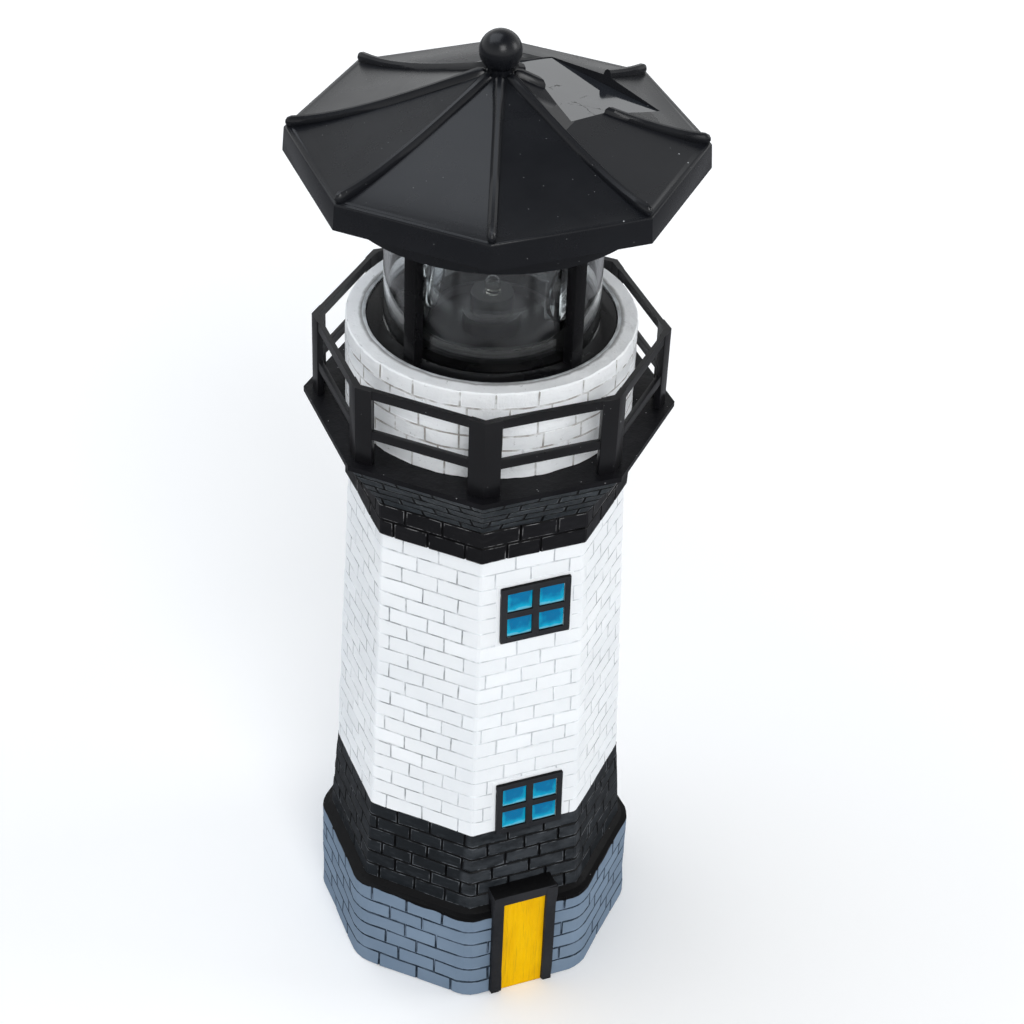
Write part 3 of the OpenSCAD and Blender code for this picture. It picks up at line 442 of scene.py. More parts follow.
def door_leaf():
    """Door of upright boards under thick yellow paint."""
    bm = bmesh.new()
    middle = Vector((DOOR_X, -(PLINTH_R * FLAT + 1.1) - 0.12, 23.2)) * MM
    made = bmesh.ops.create_grid(bm, x_segments=70, y_segments=60, size=1.0,
                                 matrix=Matrix.Translation(middle)
                                 @ Matrix.Diagonal((9.0 * MM, 1, 23.0 * MM, 1))
                                 @ Matrix.Rotation(math.radians(90), 4, "X"))
    for v in made["verts"]:
        x, z = v.co.x / MM - DOOR_X, v.co.z / MM
        grain = noise.noise(Vector((x * 1.9, 0, z * 0.09)))
        board = noise.noise(Vector((x * 0.8, 5.0, z * 0.02)))
        v.co.y += (0.12 * board + 0.10 * grain) * MM
        edge = max(0.0, (abs(x) - 6.5) / 2.5)             # the outer 2.5 mm follow the wavering paint
        v.co.x += edge * 0.5 * noise.noise(Vector((x, 3.0, z * 0.22))) * MM
    out = bmesh.ops.extrude_edge_only(bm, edges=[e for e in bm.edges if e.is_boundary])["geom"]
    bmesh.ops.translate(bm, vec=(0, 0.5 * MM, 0), verts=verts_of(out))
    return finished("door_leaf", bm, [door_paint()], "tower", 40)


# ---- shader helpers -------------------------------------------------------------------------

class Nodes:
    """Short way to place nodes in a material or a group."""

    def __init__(self, tree):
        self.tree = tree

    def add(self, kind, **settings):
        node = self.tree.nodes.new(kind)
        for key, value in settings.items():
            setattr(node, key, value)
        return node

    def link(self, source, target):
        self.tree.links.new(source, target)

    def feed(self, socket, value):
        """Links a socket to its source, or sets its plain number or colour."""
        if isinstance(value, bpy.types.NodeSocket):
            self.link(value, socket)
        else:
            socket.default_value = (*value, 1) if isinstance(value, tuple) else value

    def group(self, tree, **values):
        node = self.add("ShaderNodeGroup")
        node.node_tree = tree
        for key, value in values.items():
            self.feed(node.inputs[key.replace("_", " ")], value)
        return node

    def math(self, operation, a, b=None, clamp=False):
        node = self.add("ShaderNodeMath", operation=operation, use_clamp=clamp)
        self.feed(node.inputs[0], a)
        if b is not None:
            self.feed(node.inputs[1], b)
        return node.outputs[0]

    def times(self, a, b):
        return self.math("MULTIPLY", a, b)

    def mix(self, factor, a, b):
        node = self.add("ShaderNodeMix", data_type="RGBA")
        for place, value in ((0, factor), (6, a), (7, b)):
            self.feed(node.inputs[place], value)
        return node.outputs[2]

    def ramp(self, value, low, high, to_low=0.0, to_high=1.0):
        node = self.add("ShaderNodeMapRange", clamp=True)
        for label, given in (("Value", value), ("From Min", low), ("From Max", high),
                             ("To Min", to_low), ("To Max", to_high)):
            self.feed(node.inputs[label], given)
        return node.outputs["Result"]

    def place(self, scale=(1, 1, 1)):
        """Object coordinates in millimetres, stretched by scale."""
        where = self.add("ShaderNodeTexCoord")
        mapping = self.add("ShaderNodeMapping")
        mapping.inputs["Scale"].default_value = [s / MM for s in scale]
        self.link(where.outputs["Object"], mapping.inputs["Vector"])
        return mapping.outputs["Vector"]

    def noise(self, vector, scale, detail=3.0, roughness=0.5):
        node = self.add("ShaderNodeTexNoise")
        for label, given in (("Vector", vector), ("Scale", scale), ("Detail", detail),
                             ("Roughness", roughness)):
            self.feed(node.inputs[label], given)
        return node.outputs["Fac"]

    def attribute(self, name):
        return self.add("ShaderNodeAttribute", attribute_name=name).outputs["Fac"]

    def split(self, vector):
        """The x, y and z of a vector."""
        node = self.add("ShaderNodeSeparateXYZ")
        self.link(vector, node.inputs[0])
        return tuple(node.outputs)

    def facing(self):
        """The x, y and z of the surface's normal."""
        return self.split(self.add("ShaderNodeNewGeometry").outputs["Normal"])

    def reach(self, x, y):
        """Distance from the tower's axis."""
        return self.math("SQRT", self.math("ADD", self.times(x, x), self.times(y, y)))


def new_group(name, inputs, outputs):
    """An empty node group with named number sockets."""
    tree = bpy.data.node_groups.new(name, "ShaderNodeTree")
    for label, value in inputs.items():
        socket = tree.interface.new_socket(name=label, in_out="INPUT", socket_type="NodeSocketFloat")
        socket.default_value = value
    for label in outputs:
        tree.interface.new_socket(name=label, in_out="OUTPUT", socket_type="NodeSocketFloat")
    nodes = Nodes(tree)
    return nodes, nodes.add("NodeGroupInput").outputs, nodes.add("NodeGroupOutput").inputs


def make_cast_grain():
    """Lumpy and fine relief of a cast, painted surface."""
    n, inside, outside = new_group("cast_grain", {"Lump": 0.25, "Fine": 1.6, "Fine share": 0.35},
                                   ["Height", "Patch"])
    place = n.place()
    lump = n.noise(place, inside["Lump"], 4.0)
    fine = n.times(n.noise(place, inside["Fine"]), inside["Fine share"])
    n.link(n.math("ADD", lump, fine), outside["Height"])
    n.link(n.noise(place, 0.035, 5.0, 0.6), outside["Patch"])
    return n.tree


def make_specks():
    """Scattered dust specks: white where a speck lies."""
    n, inside, outside = new_group("dust_specks", {"Scale": 0.35, "Size": 0.1, "Share": 0.5}, ["Mask"])
    cells = n.add("ShaderNodeTexVoronoi")
    n.link(n.place(), cells.inputs["Vector"])
    n.link(inside["Scale"], cells.inputs["Scale"])
    near = n.math("LESS_THAN", cells.outputs["Distance"], inside["Size"])
    chance = n.add("ShaderNodeSeparateColor")
    n.link(cells.outputs["Color"], chance.inputs[0])
    kept = n.math("LESS_THAN", chance.outputs[0], inside["Share"])
    n.link(n.times(near, kept), outside["Mask"])
    return n.tree


CAST_GRAIN, SPECKS = make_cast_grain(), make_specks()


def surface(name, colour, roughness, **plain):
    """A material with its Principled shader; plain values go on the shader's own sockets."""
    material = bpy.data.materials.new(name)
    material.use_nodes = True
    n = Nodes(material.node_tree)
    shader = material.node_tree.nodes["Principled BSDF"]
    shader.inputs["Base Color"].default_value = (*colour, 1)
    shader.inputs["Roughness"].default_value = roughness
    for key, value in plain.items():
        shader.inputs[key.replace("_", " ")].default_value = value
    return material, n, shader


def coat(n, shader, colour, roughness):
    n.link(colour, shader.inputs["Base Color"])
    n.link(roughness, shader.inputs["Roughness"])


def bump(n, shader, height, strength, distance):
    node = n.add("ShaderNodeBump")
    node.inputs["Strength"].default_value = strength
    node.inputs["Distance"].default_value = distance * MM
    n.link(height, node.inputs["Height"])
    n.link(node.outputs["Normal"], shader.inputs["Normal"])


def once(build):
    """Builds a material the first time it is asked for."""
    made = {}

    def give():
        if "it" not in made:
            made["it"] = build()
        return made["it"]
    return give


# ---- paints of the casting ------------------------------------------------------------------

def brick_paint(name, face, patch, joint_colour, lip_wear_and_highlight_colour, lip_share, roughness, rub=0.0,
                rub_colour=None, relief=0.16, gloss=0.3, spread=0.025, bare=0.15, finish=None):
    """Matte paint on bricks: patchy faces, dirty joints, lips rubbed pale with a painted highlight on
    them, and dry-brushed streaks.
    """
    material, n, shader = surface(name, face, roughness, Specular_IOR_Level=gloss)
    grain = n.group(CAST_GRAIN, Lump=0.3, Fine=1.5, Fine_share=0.4)
    colour = n.mix(n.ramp(grain.outputs["Patch"], 0.25, 0.75), face, patch)
    tone = n.ramp(n.attribute("tone"), 0.0, 1.0, -spread, spread)
    bright = n.add("ShaderNodeHueSaturation")
    n.link(n.math("ADD", tone, 1.0), bright.inputs["Value"])
    n.link(colour, bright.inputs["Color"])
    colour = bright.outputs["Color"]
    part = n.attribute("joint")
    if rub:
        streak = n.noise(n.place((0.35, 0.35, 1.4)), 0.55, 5.0, 0.65)
        reach = n.noise(n.place(), 0.07, 2.0)
        rubbed = n.times(n.ramp(streak, 0.5, 0.75), n.ramp(reach, 0.3, 0.64))
        colour = n.mix(n.times(rubbed, rub), colour, rub_colour)
    # Paler lips round each brick: partly dry-brushed wear, partly a painted highlight along the edges.
    lip = n.times(n.math("GREATER_THAN", part, 0.25), n.math("LESS_THAN", part, 0.75))
    rub_and_highlight = n.ramp(n.noise(n.place(), 0.24, 4.0, 0.6), 0.47, 0.6)
    colour = n.mix(n.times(n.times(lip, rub_and_highlight), lip_share), colour, lip_wear_and_highlight_colour)
    joint_dirt_and_seat_shade = n.ramp(n.noise(n.place(), 0.22, 3.0), 0.36, 0.6, bare, 1.0)
    colour = n.mix(n.times(n.math("GREATER_THAN", part, 0.75), joint_dirt_and_seat_shade), colour, joint_colour)
    rough = n.ramp(grain.outputs["Height"], 0.4, 0.9, roughness - 0.06, roughness + 0.08)
    if finish:
        colour, rough = finish(n, colour, rough)
    coat(n, shader, colour, rough)
    bump(n, shader, grain.outputs["Height"], 0.55, relief)
    return material


@once
def white_paint():
    return brick_paint("white_brick_paint", (0.78, 0.81, 0.84), (0.86, 0.88, 0.90), (0.36, 0.38, 0.40),
                       (0.90, 0.92, 0.93), 0.5, 0.62, relief=0.24, bare=0.2, finish=paler_front)


def paler_front(n, colour, rough):
    """Joints on the door's side are lifted half way to the face colour, as painted light on the lit
    side; paint fills them at the corners.
    """
    x, y, _ = n.split(n.place())
    # painted light: the joints on the door's side are paler
    front = n.ramp(y, -40.5, -41.5, 0.0, 0.5)
    turn = n.math("ARCTAN2", y, x)
    from_corner = n.math("PINGPONG", n.math("ADD", turn, 7 * HALF_SIDE), HALF_SIDE)
    corner = n.ramp(from_corner, math.radians(0.8), math.radians(2.8), 0.9, 0.0)
    in_joint = n.math("GREATER_THAN", n.attribute("joint"), 0.75)
    lit_and_filled = n.times(n.math("MAXIMUM", front, corner), in_joint)
    return n.mix(lit_and_filled, colour, (0.80, 0.83, 0.86)), rough


@once
def drum_paint():
    return brick_paint("drum_paint", (0.86, 0.885, 0.91), (0.94, 0.955, 0.97), (0.38, 0.36, 0.34),
                       (0.93, 0.95, 0.97), 0.5, 0.55, 0.25, (0.50, 0.52, 0.54), relief=0.9, bare=0.1,
                       finish=chipped)


def chipped(n, colour, rough):
    """Grey chips on the faces, and painted shade round the lamp head's seat."""
    place = n.place()
    chip = n.ramp(n.noise(place, 0.55, 6.0, 0.7), 0.63, 0.68)
    colour = n.mix(n.times(chip, 0.45), colour, (0.30, 0.30, 0.30))
    x, y, _ = n.split(place)
    waver = n.ramp(n.noise(place, 0.25, 3.0), 0.0, 1.0, -0.6, 0.6)
    # painted shade in the seam where the lamp head sits on the rim
    seat_shade = n.ramp(n.math("ADD", n.reach(x, y), waver), FLANGE_SEAT_R + 1.1, FLANGE_SEAT_R + 0.2)
    return n.mix(n.times(seat_shade, 0.7), colour, (0.10, 0.10, 0.10)), rough


@once
def black_brick_paint():
    return brick_paint("black_brick_paint", (0.0075, 0.0095, 0.0120), (0.0165, 0.0200, 0.0240),
                       (0.0006, 0.0006, 0.0008), (0.11, 0.12, 0.132), 0.85, 0.42, 0.6,
                       (0.038, 0.044, 0.051), gloss=0.16, spread=0.15, bare=0.8, finish=greyer_front)


def greyer_front(n, colour, rough):
    """The door's side is painted paler than the others, in patches: painted light on the lit side."""
    _, y, _ = n.split(n.place())
    front = n.ramp(y, -45.8, -46.8, 0.0, 0.45)
    patch = n.ramp(n.noise(n.place((0.6, 0.6, 1.2)), 0.12, 5.0, 0.65), 0.35, 0.62)
    on_face = n.math("LESS_THAN", n.attribute("joint"), 0.25)
    # painted light: paler patches on the faces of the door's side
    share = n.times(n.times(front, patch), on_face)
    return n.mix(share, colour, (0.075, 0.083, 0.094)), rough


@once
def band_paint():
    return brick_paint("band_paint", (0.0050, 0.0050, 0.0062), (0.0105, 0.0105, 0.0125),
                       (0.0006, 0.0006, 0.0008), (0.20, 0.20, 0.205), 0.8, 0.4, 0.3,
                       (0.035, 0.035, 0.038), gloss=0.14, spread=0.15, bare=0.8)


@once
def charcoal_paint():
    return brick_paint("charcoal_paint", (0.013, 0.017, 0.021), (0.034, 0.041, 0.047),
                       (0.0008, 0.0008, 0.001), (0.13, 0.14, 0.15), 0.7, 0.42, 0.7,
                       (0.085, 0.098, 0.110), gloss=0.14, spread=0.2, bare=0.8, relief=0.3)


@once
def plinth_paint():
    return brick_paint("plinth_paint", (0.150, 0.210, 0.290), (0.190, 0.256, 0.342),
                       (0.016, 0.026, 0.040), (0.24, 0.31, 0.40), 0.5, 0.6, gloss=0.14,
                       spread=0.05, bare=0.7, finish=black_ledge)


def black_mask(n, low, waver):
    """White above a hand-painted edge that wavers round the level low."""
    place = n.place()
    _, y, z = n.split(place)
    wave = n.math("ADD", n.ramp(n.noise(place, 0.12, 1.5, 0.4), 0.3, 0.7, -waver, waver),
                  n.ramp(y, -30.0, -52.0, 0.0, 1.1))      # lower on the door's side
    return n.ramp(n.math("ADD", z, wave), low - 0.04, low + 0.04)


def black_ledge(n, colour, rough):
    """Glossy black from the plinth's rim inwards, over the blue-grey."""
    mask = black_mask(n, PLINTH_TOP - 0.4, 0.42)
    specks = n.group(SPECKS, Scale=0.4, Size=0.06, Share=0.25)
    black = n.mix(specks.outputs["Mask"], (0.0022, 0.0022, 0.0026), (0.25, 0.25, 0.26))
    return n.mix(mask, colour, black), n.math("SUBTRACT", rough, n.times(mask, 0.1))


@once
def frame_paint():
    """Dark grey of the door's and windows' frames, with painted shade making it blacker where it faces
    upwards.
    """
    material, n, shader = surface("frame_paint", (0.020, 0.021, 0.024), 0.5, Specular_IOR_Level=0.16)
    grain = n.group(CAST_GRAIN, Lump=0.5, Fine=2.2, Fine_share=0.5)
    _, _, upwards = n.facing()
    # painted shade: faces that look upwards are made blacker
    shaded_top = n.ramp(upwards, 0.5, 0.8)
    patch = n.ramp(grain.outputs["Patch"], 0.35, 0.65)
    colour = n.mix(patch, (0.014, 0.015, 0.018), (0.026, 0.027, 0.031))
    coat(n, shader, n.mix(shaded_top, colour, (0.002, 0.002, 0.0025)),
         n.ramp(grain.outputs["Height"], 0.4, 0.9, 0.42, 0.62))
    bump(n, shader, grain.outputs["Height"], 0.6, 0.14)
    return material


@once
def pane_paint():
    """Poured blue: deep in the middle and at the top, paler where it thins out."""
    material, n, shader = surface("pane_paint", (0.005, 0.25, 0.52), 0.1, Specular_IOR_Level=0.25)
    across, up, _ = n.split(n.add("ShaderNodeUVMap").outputs["UV"])
    off_x = n.math("ABSOLUTE", n.math("SUBTRACT", across, 0.5))
    off_z = n.math("ABSOLUTE", n.math("SUBTRACT", up, 0.62))
    edge = n.math("MAXIMUM", n.ramp(off_x, 0.30, 0.49), n.ramp(off_z, 0.22, 0.58))
    cloud = n.ramp(n.noise(n.place(), 0.28, 3.0, 0.5), 0.3, 0.7, -0.25, 0.3)
    fall = n.ramp(up, 0.05, 0.85, 0.3, -0.3)
    amount = n.math("ADD", n.math("ADD", edge, cloud), fall, clamp=True)
    deep = n.mix(amount, (0.0008, 0.150, 0.33), (0.003, 0.41, 0.63))
    pale = n.ramp(n.math("ADD", amount, n.ramp(up, 0.0, 0.3, 0.22, 0.0)), 1.02, 1.3)
    coat(n, shader, n.mix(pale, deep, (0.30, 0.62, 0.74)),
         n.ramp(n.noise(n.place(), 0.9, 2.0), 0.3, 0.7, 0.08, 0.22))
    bump(n, shader, n.noise(n.place(), 0.6, 3.0), 0.35, 0.12)
    return material


@once
def door_paint():
    """Thick yellow paint over upright boards, with brown streaks in the grain."""
    material, n, shader = surface("door_paint", (0.82, 0.46, 0.001), 0.42, Specular_IOR_Level=0.04)
    fine = n.noise(n.place((1, 1, 0.045)), 1.6, 5.0, 0.65)
    broad = n.noise(n.place((1, 1, 0.02)), 0.45, 3.0)
    streak = n.times(n.ramp(fine, 0.52, 0.74), n.ramp(broad, 0.35, 0.68, 0.25, 1.0))
    patch = n.ramp(n.noise(n.place((1, 1, 0.5)), 0.12, 3.0), 0.35, 0.65)
    colour = n.mix(patch, (0.78, 0.42, 0.0005), (0.87, 0.50, 0.001))
    colour = n.mix(n.times(streak, 0.75), colour, (0.30, 0.20, 0.015))
    coat(n, shader, colour, n.ramp(fine, 0.3, 0.7, 0.34, 0.56))
    bump(n, shader, fine, 0.6, 0.22)
    return material


@once
def casting_paint():
    """Paint of the casting's own surface: white drum, black deck and ledge, bare resin inside."""
    material, n, shader = surface("casting_paint", (0.8, 0.82, 0.85), 0.6, Specular_IOR_Level=0.14)
    grain = n.group(CAST_GRAIN, Lump=0.28, Fine=1.4, Fine_share=0.45)
    patch = n.ramp(grain.outputs["Patch"], 0.35, 0.65)
    place = n.place()
    x, y, height = n.split(place)
    reach = n.reach(x, y)
    facing_x, facing_y, facing_z = n.facing()
    outward = n.math("ADD", n.times(x, facing_x), n.times(y, facing_y))
    waver = n.ramp(n.noise(place, 0.25, 3.0), 0.0, 1.0, -0.5, 0.5)

    # The white drum, with painted shade towards the lamp head's seat and grey cracks
    white = n.mix(patch, (0.66, 0.70, 0.73), (0.80, 0.83, 0.86))
    near_seat = n.ramp(n.math("ADD", reach, waver), FLANGE_SEAT_R - 0.2, FLANGE_SEAT_R - 1.1)
    # painted shade down into the lamp head's seat
    joint_dirt_and_seat_shade = n.times(near_seat, n.ramp(n.noise(place, 0.12, 4.0), 0.35, 0.6, 0.3, 1.0))
    white = n.mix(n.times(joint_dirt_and_seat_shade, 0.75), white, (0.12, 0.12, 0.12))
    crack = n.ramp(n.noise(place, 0.18, 6.0, 0.75), 0.66, 0.72)
    white = n.mix(n.times(crack, 0.4), white, (0.35, 0.36, 0.37))

    # Dusty black on the deck and all that lies below it
    black = n.mix(patch, (0.0035, 0.0035, 0.0045), (0.009, 0.009, 0.011))
    specks = n.group(SPECKS, Scale=0.4, Size=0.07, Share=0.35)
    black = n.mix(specks.outputs["Mask"], black, (0.35, 0.35, 0.36))
    is_white = n.math("GREATER_THAN", height, DECK_Z + 0.02)
    colour = n.mix(is_white, black, white)

    # Blue-grey behind the plinth's bricks and pale grey behind the white ones, off door and windows
    low = n.math("LESS_THAN", n.math("ADD", height, waver), PLINTH_TOP - 0.2)
    off_door = n.math("GREATER_THAN", y, -PLINTH_R * FLAT - 0.3)
    colour = n.mix(n.times(low, off_door), colour, (0.17, 0.23, 0.32))
    shaft = n.times(n.math("GREATER_THAN", height, BELT_Z), n.math("LESS_THAN", height, BAND_Z))
    wall_y = n.ramp(height, BELT_Z, BAND_Z, -BELT_R * FLAT, -SHAFT_R * FLAT)
    off_window = n.math("GREATER_THAN", n.math("SUBTRACT", y, wall_y), -0.3)
    colour = n.mix(n.times(shaft, off_window), colour, (0.55, 0.57, 0.59))

    # Bare resin on the hollow side and under the foot
    inner = n.times(n.math("LESS_THAN", outward, -1.0), n.math("LESS_THAN", height, DRUM_Z - 3.2))
    under = n.times(n.math("LESS_THAN", facing_z, -0.9), n.math("LESS_THAN", reach, 57.0))
    raw = n.math("MAXIMUM", inner, n.times(under, n.math("LESS_THAN", height, CORBEL_Z - 1.5)))
    resin = n.mix(patch, (0.42, 0.41, 0.38), (0.52, 0.51, 0.47))
    coat(n, shader, n.mix(raw, colour, resin), n.ramp(is_white, 0.0, 1.0, 0.36, 0.6))
    bump(n, shader, grain.outputs["Height"], 0.6, 0.25)
    return material


# ---- plastics, metals and the rest ----------------------------------------------------------

def moulded(name, colour, roughness, relief=0.05, lump=0.12, marks=True, gloss=0.5):
    """Moulded plastic with a faint orange peel and specks of dust in two sizes."""
    material, n, shader = surface(name, colour, roughness, Specular_IOR_Level=gloss)
    grain = n.group(CAST_GRAIN, Lump=lump, Fine=2.6, Fine_share=0.12)
    paler = tuple(min(1.0, c * 1.5 + 0.001) for c in colour)
    base = n.mix(n.ramp(grain.outputs["Patch"], 0.2, 0.8), colour, paler)
    rough = n.ramp(grain.outputs["Patch"], 0.15, 0.85, roughness - 0.07, roughness + 0.1)
    if marks:
        coarse = n.group(SPECKS, Scale=0.13, Size=0.03, Share=0.3)
        fine = n.group(SPECKS, Scale=0.42, Size=0.06, Share=0.25)
        faint = n.times(fine.outputs["Mask"], 0.35)
        marked = n.math("MAXIMUM", coarse.outputs["Mask"], faint)
        base = n.mix(marked, base, (0.38, 0.39, 0.40))
        rough = n.math("ADD", rough, n.times(marked, 0.3))
    coat(n, shader, base, rough)
    bump(n, shader, grain.outputs["Height"], 0.4, relief)
    return material


@once
def roof_plastic():
    return moulded("roof_plastic", (0.0045, 0.0050, 0.0066), 0.25, relief=0.018, gloss=0.28)


@once
def railing_plastic():
    return moulded("railing_plastic", (0.0044, 0.0044, 0.0054), 0.3, relief=0.12, lump=0.3,
                   gloss=0.4)


@once
def frame_plastic():
    return moulded("frame_plastic", (0.0036, 0.0036, 0.0042), 0.26, relief=0.04, gloss=0.11)


@once
def inner_plastic():
    return moulded("inner_plastic", (0.018, 0.018, 0.019), 0.48, relief=0.05)


@once
def gear_plastic():
    return moulded("gear_plastic", (0.055, 0.055, 0.058), 0.42, marks=False)


@once
def knob_plastic():
    return moulded("knob_plastic", (0.72, 0.72, 0.69), 0.35, marks=False)


def clear(name, colour, roughness, ior):
    """Clear moulded plastic with faint smears in its polish."""
    material, n, shader = surface(name, colour, roughness, IOR=ior, Transmission_Weight=1.0)
    smear = n.noise(n.place((1, 1, 0.3)), 0.06, 3.0, 0.5)
    n.link(n.ramp(smear, 0.4, 0.8, roughness, roughness + 0.05), shader.inputs["Roughness"])
    bump(n, shader, n.noise(n.place((1, 1, 0.4)), 0.05, 1.0), 0.1, 0.05)
    return material


@once
def clear_plastic():
    return clear("clear_plastic", (0.97, 0.985, 0.99), 0.01, 1.49)


@once
def lens_plastic():
    return clear("lens_plastic", (0.95, 0.975, 0.985), 0.02, 1.49)


@once
def led_epoxy():
    return clear("led_epoxy", (0.99, 0.97, 0.88), 0.05, 1.5)


@once
def solar_cell():
    """Glossy dark cell with faint clouds and a few fine, wandering cracks."""
    material, n, shader = surface("solar_cell", (0.012, 0.014, 0.018), 0.08)
    cells = n.add("ShaderNodeTexVoronoi", feature="DISTANCE_TO_EDGE")
    cells.inputs["Scale"].default_value = 0.035
    warped = n.add("ShaderNodeVectorMath", operation="ADD")
    drift = n.add("ShaderNodeTexNoise")
    drift.inputs["Scale"].default_value = 0.2
    place = n.place()
    n.link(place, drift.inputs["Vector"])
    swing = n.add("ShaderNodeVectorMath", operation="SCALE")
    swing.inputs["Scale"].default_value = 9.0
    n.link(drift.outputs["Color"], swing.inputs[0])
    n.link(place, warped.inputs[0])
    n.link(swing.outputs[0], warped.inputs[1])
    n.link(warped.outputs[0], cells.inputs["Vector"])
    crack = n.times(n.math("LESS_THAN", cells.outputs["Distance"], 0.006),
                   n.math("GREATER_THAN", n.noise(place, 0.05, 2.0), 0.5))
    patch = n.ramp(n.noise(place, 0.05, 3.0), 0.35, 0.65)
    base = n.mix(patch, (0.012, 0.014, 0.018), (0.022, 0.025, 0.030))
    n.link(n.mix(crack, base, (0.002, 0.002, 0.002)), shader.inputs["Base Color"])
    n.link(n.math("ADD", n.ramp(patch, 0.0, 1.0, 0.05, 0.12), n.times(crack, 0.4)),
           shader.inputs["Roughness"])
    bump(n, shader, n.noise(place, 0.08, 2.0), 0.25, 0.08)
    return material


def metal(name, colour, roughness, stretch):
    """Plated or turned metal with fine tool lines."""
    material, n, shader = surface(name, colour, roughness, Metallic=1.0)
    lines = n.noise(n.place(stretch), 2.4, 3.0)
    n.link(n.ramp(lines, 0.3, 0.7, roughness - 0.08, roughness + 0.12), shader.inputs["Roughness"])
    dull = n.ramp(n.noise(n.place(), 0.3, 3.0), 0.3, 0.7)
    n.link(n.mix(dull, colour, tuple(c * 0.82 for c in colour)), shader.inputs["Base Color"])
    bump(n, shader, lines, 0.2, 0.03)
    return material


@once
def screw_steel():
    return metal("screw_steel", (0.62, 0.62, 0.65), 0.28, (1, 1, 3))


@once
def motor_steel():
    return metal("motor_steel", (0.56, 0.56, 0.58), 0.25, (0.2, 0.2, 3))


@once
def contact_steel():
    return metal("contact_steel", (0.72, 0.72, 0.70), 0.2, (2, 0.3, 0.3))


@once
def turned_brass():
    return metal("turned_brass", (0.78, 0.56, 0.22), 0.25, (0.3, 0.3, 3))


@once
def cell_wrap():
    """Plain printed sleeve: green with one paler band round the stud's end."""
    material, n, shader = surface("cell_wrap", (0.02, 0.16, 0.07), 0.3)
    along, _, _ = n.split(n.place())
    band = n.math("GREATER_THAN", along, 16.0)
    tip = n.math("GREATER_THAN", along, 24.2)
    patch = n.ramp(n.noise(n.place(), 0.1, 3.0), 0.3, 0.7)
    colour = n.mix(patch, (0.018, 0.15, 0.065), (0.024, 0.19, 0.08))
    colour = n.mix(band, colour, (0.62, 0.62, 0.58))
    coat(n, shader, n.mix(tip, colour, (0.6, 0.6, 0.6)), n.ramp(patch, 0.0, 1.0, 0.24, 0.36))
    bump(n, shader, n.noise(n.place(), 0.4, 2.0), 0.2, 0.04)
    return material


@once
def board_green():
    """Solder mask over faint copper traces."""
    material, n, shader = surface("board_green", (0.01, 0.10, 0.04), 0.3)
    weave = n.add("ShaderNodeTexVoronoi", feature="DISTANCE_TO_EDGE", distance="MANHATTAN")
    weave.inputs["Scale"].default_value = 0.28
    n.link(n.place(), weave.inputs["Vector"])
    trace = n.math("LESS_THAN", weave.outputs["Distance"], 0.08)
    coat(n, shader, n.mix(trace, (0.008, 0.085, 0.033), (0.018, 0.17, 0.06)),
         n.ramp(weave.outputs["Distance"], 0.0, 0.3, 0.24, 0.36))
    bump(n, shader, trace, 0.4, 0.04)
    return material


NODE_FINISH = {
    "tower_casting": casting_paint, "railing": railing_plastic, "roof_shell": roof_plastic,
    "finial_ball": roof_plastic, "solar_panel": solar_cell, "roof_tray": roof_plastic,
    "roof_screws": screw_steel, "column_screws": screw_steel, "lamp_frame": frame_plastic,
    "lamp_cylinder": clear_plastic, "drive_housing": inner_plastic, "frame_screws": screw_steel,
    "led_post": inner_plastic, "led_lamp": led_epoxy, "circuit_board": board_green,
    "motor": motor_steel, "battery": cell_wrap, "battery_contacts": contact_steel,
    "housing_cover": inner_plastic, "cover_screws": screw_steel, "battery_door": inner_plastic,
    "battery_door_screw": screw_steel, "switch_body": contact_steel, "optic_turntable": gear_plastic,
    "lens_drum": lens_plastic, "bullseye_lenses": lens_plastic, "motor_pinion": turned_brass,
    "switch_knob": knob_plastic,
}


def dress_nodes():
    """Gives every CAD node its finish."""
    for name, finish in NODE_FINISH.items():
        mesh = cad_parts[name].data
        mesh.materials.clear()
        mesh.materials.append(finish())


# ---- softened copies of the plastic pieces --------------------------------------------------

def soft_railing():
    """The railing with soft edges and rails a little slimmer than the CAD's, as in the photo."""
    bm = softened("railing", 0.28, least=1.0)
    for level, shift in ((RAIL_Z - 3.9, 0.55), (RAIL_Z - 15, -0.3), (RAIL_Z - 18.9, 0.4)):
        for v in bm.verts:
            if abs(v.co.z / MM - level) < 0.4:
                v.co.z += shift * MM
    wander(bm, bm.verts, 0.22, 7.0)
    piece = finished("soft_railing", bm, [railing_plastic()], "tower", 35)
    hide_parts("railing")


def soft_roof():
    """The roof shell with a fine bevel round its eave."""
    def at_eave(e):
        ends = [(v.co.z / MM, Vector((v.co.x, v.co.y)).length / MM) for v in e.verts]
        return all(FASCIA_Z - 0.2 < z < EAVE_Z + 0.4 and r > ROOF_R * FLAT - 1.0 for z, r in ends)
    bm = softened("roof_shell", 0.3, angle=20, pick=at_eave)
    for k in range(8):
        hip = HALF_SIDE + math.radians(SIDE * k)
        across = Vector((-math.sin(hip), math.cos(hip), 0))
        for v in bm.verts:                               # the ribs are a little slimmer than the CAD's
            off = v.co.dot(across)
            along = v.co.x * across.y - v.co.y * across.x
            if abs(off) < 2.3 * MM and along > 12 * MM and v.co.z > (EAVE_Z - 0.1) * MM:
                v.co -= across * off * 0.24
    piece = finished("soft_roof", bm, [roof_plastic()], "lamp_head", 24, mended=False)
    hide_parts("roof_shell")


def soft_lamp_frame():
    bm = softened("lamp_frame", 0.22, least=0.6)
    piece = finished("soft_lamp_frame", bm, [frame_plastic()], "lamp_head", 35)
    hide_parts("lamp_frame")


# ---- room, lights and camera ----------------------------------------------------------------

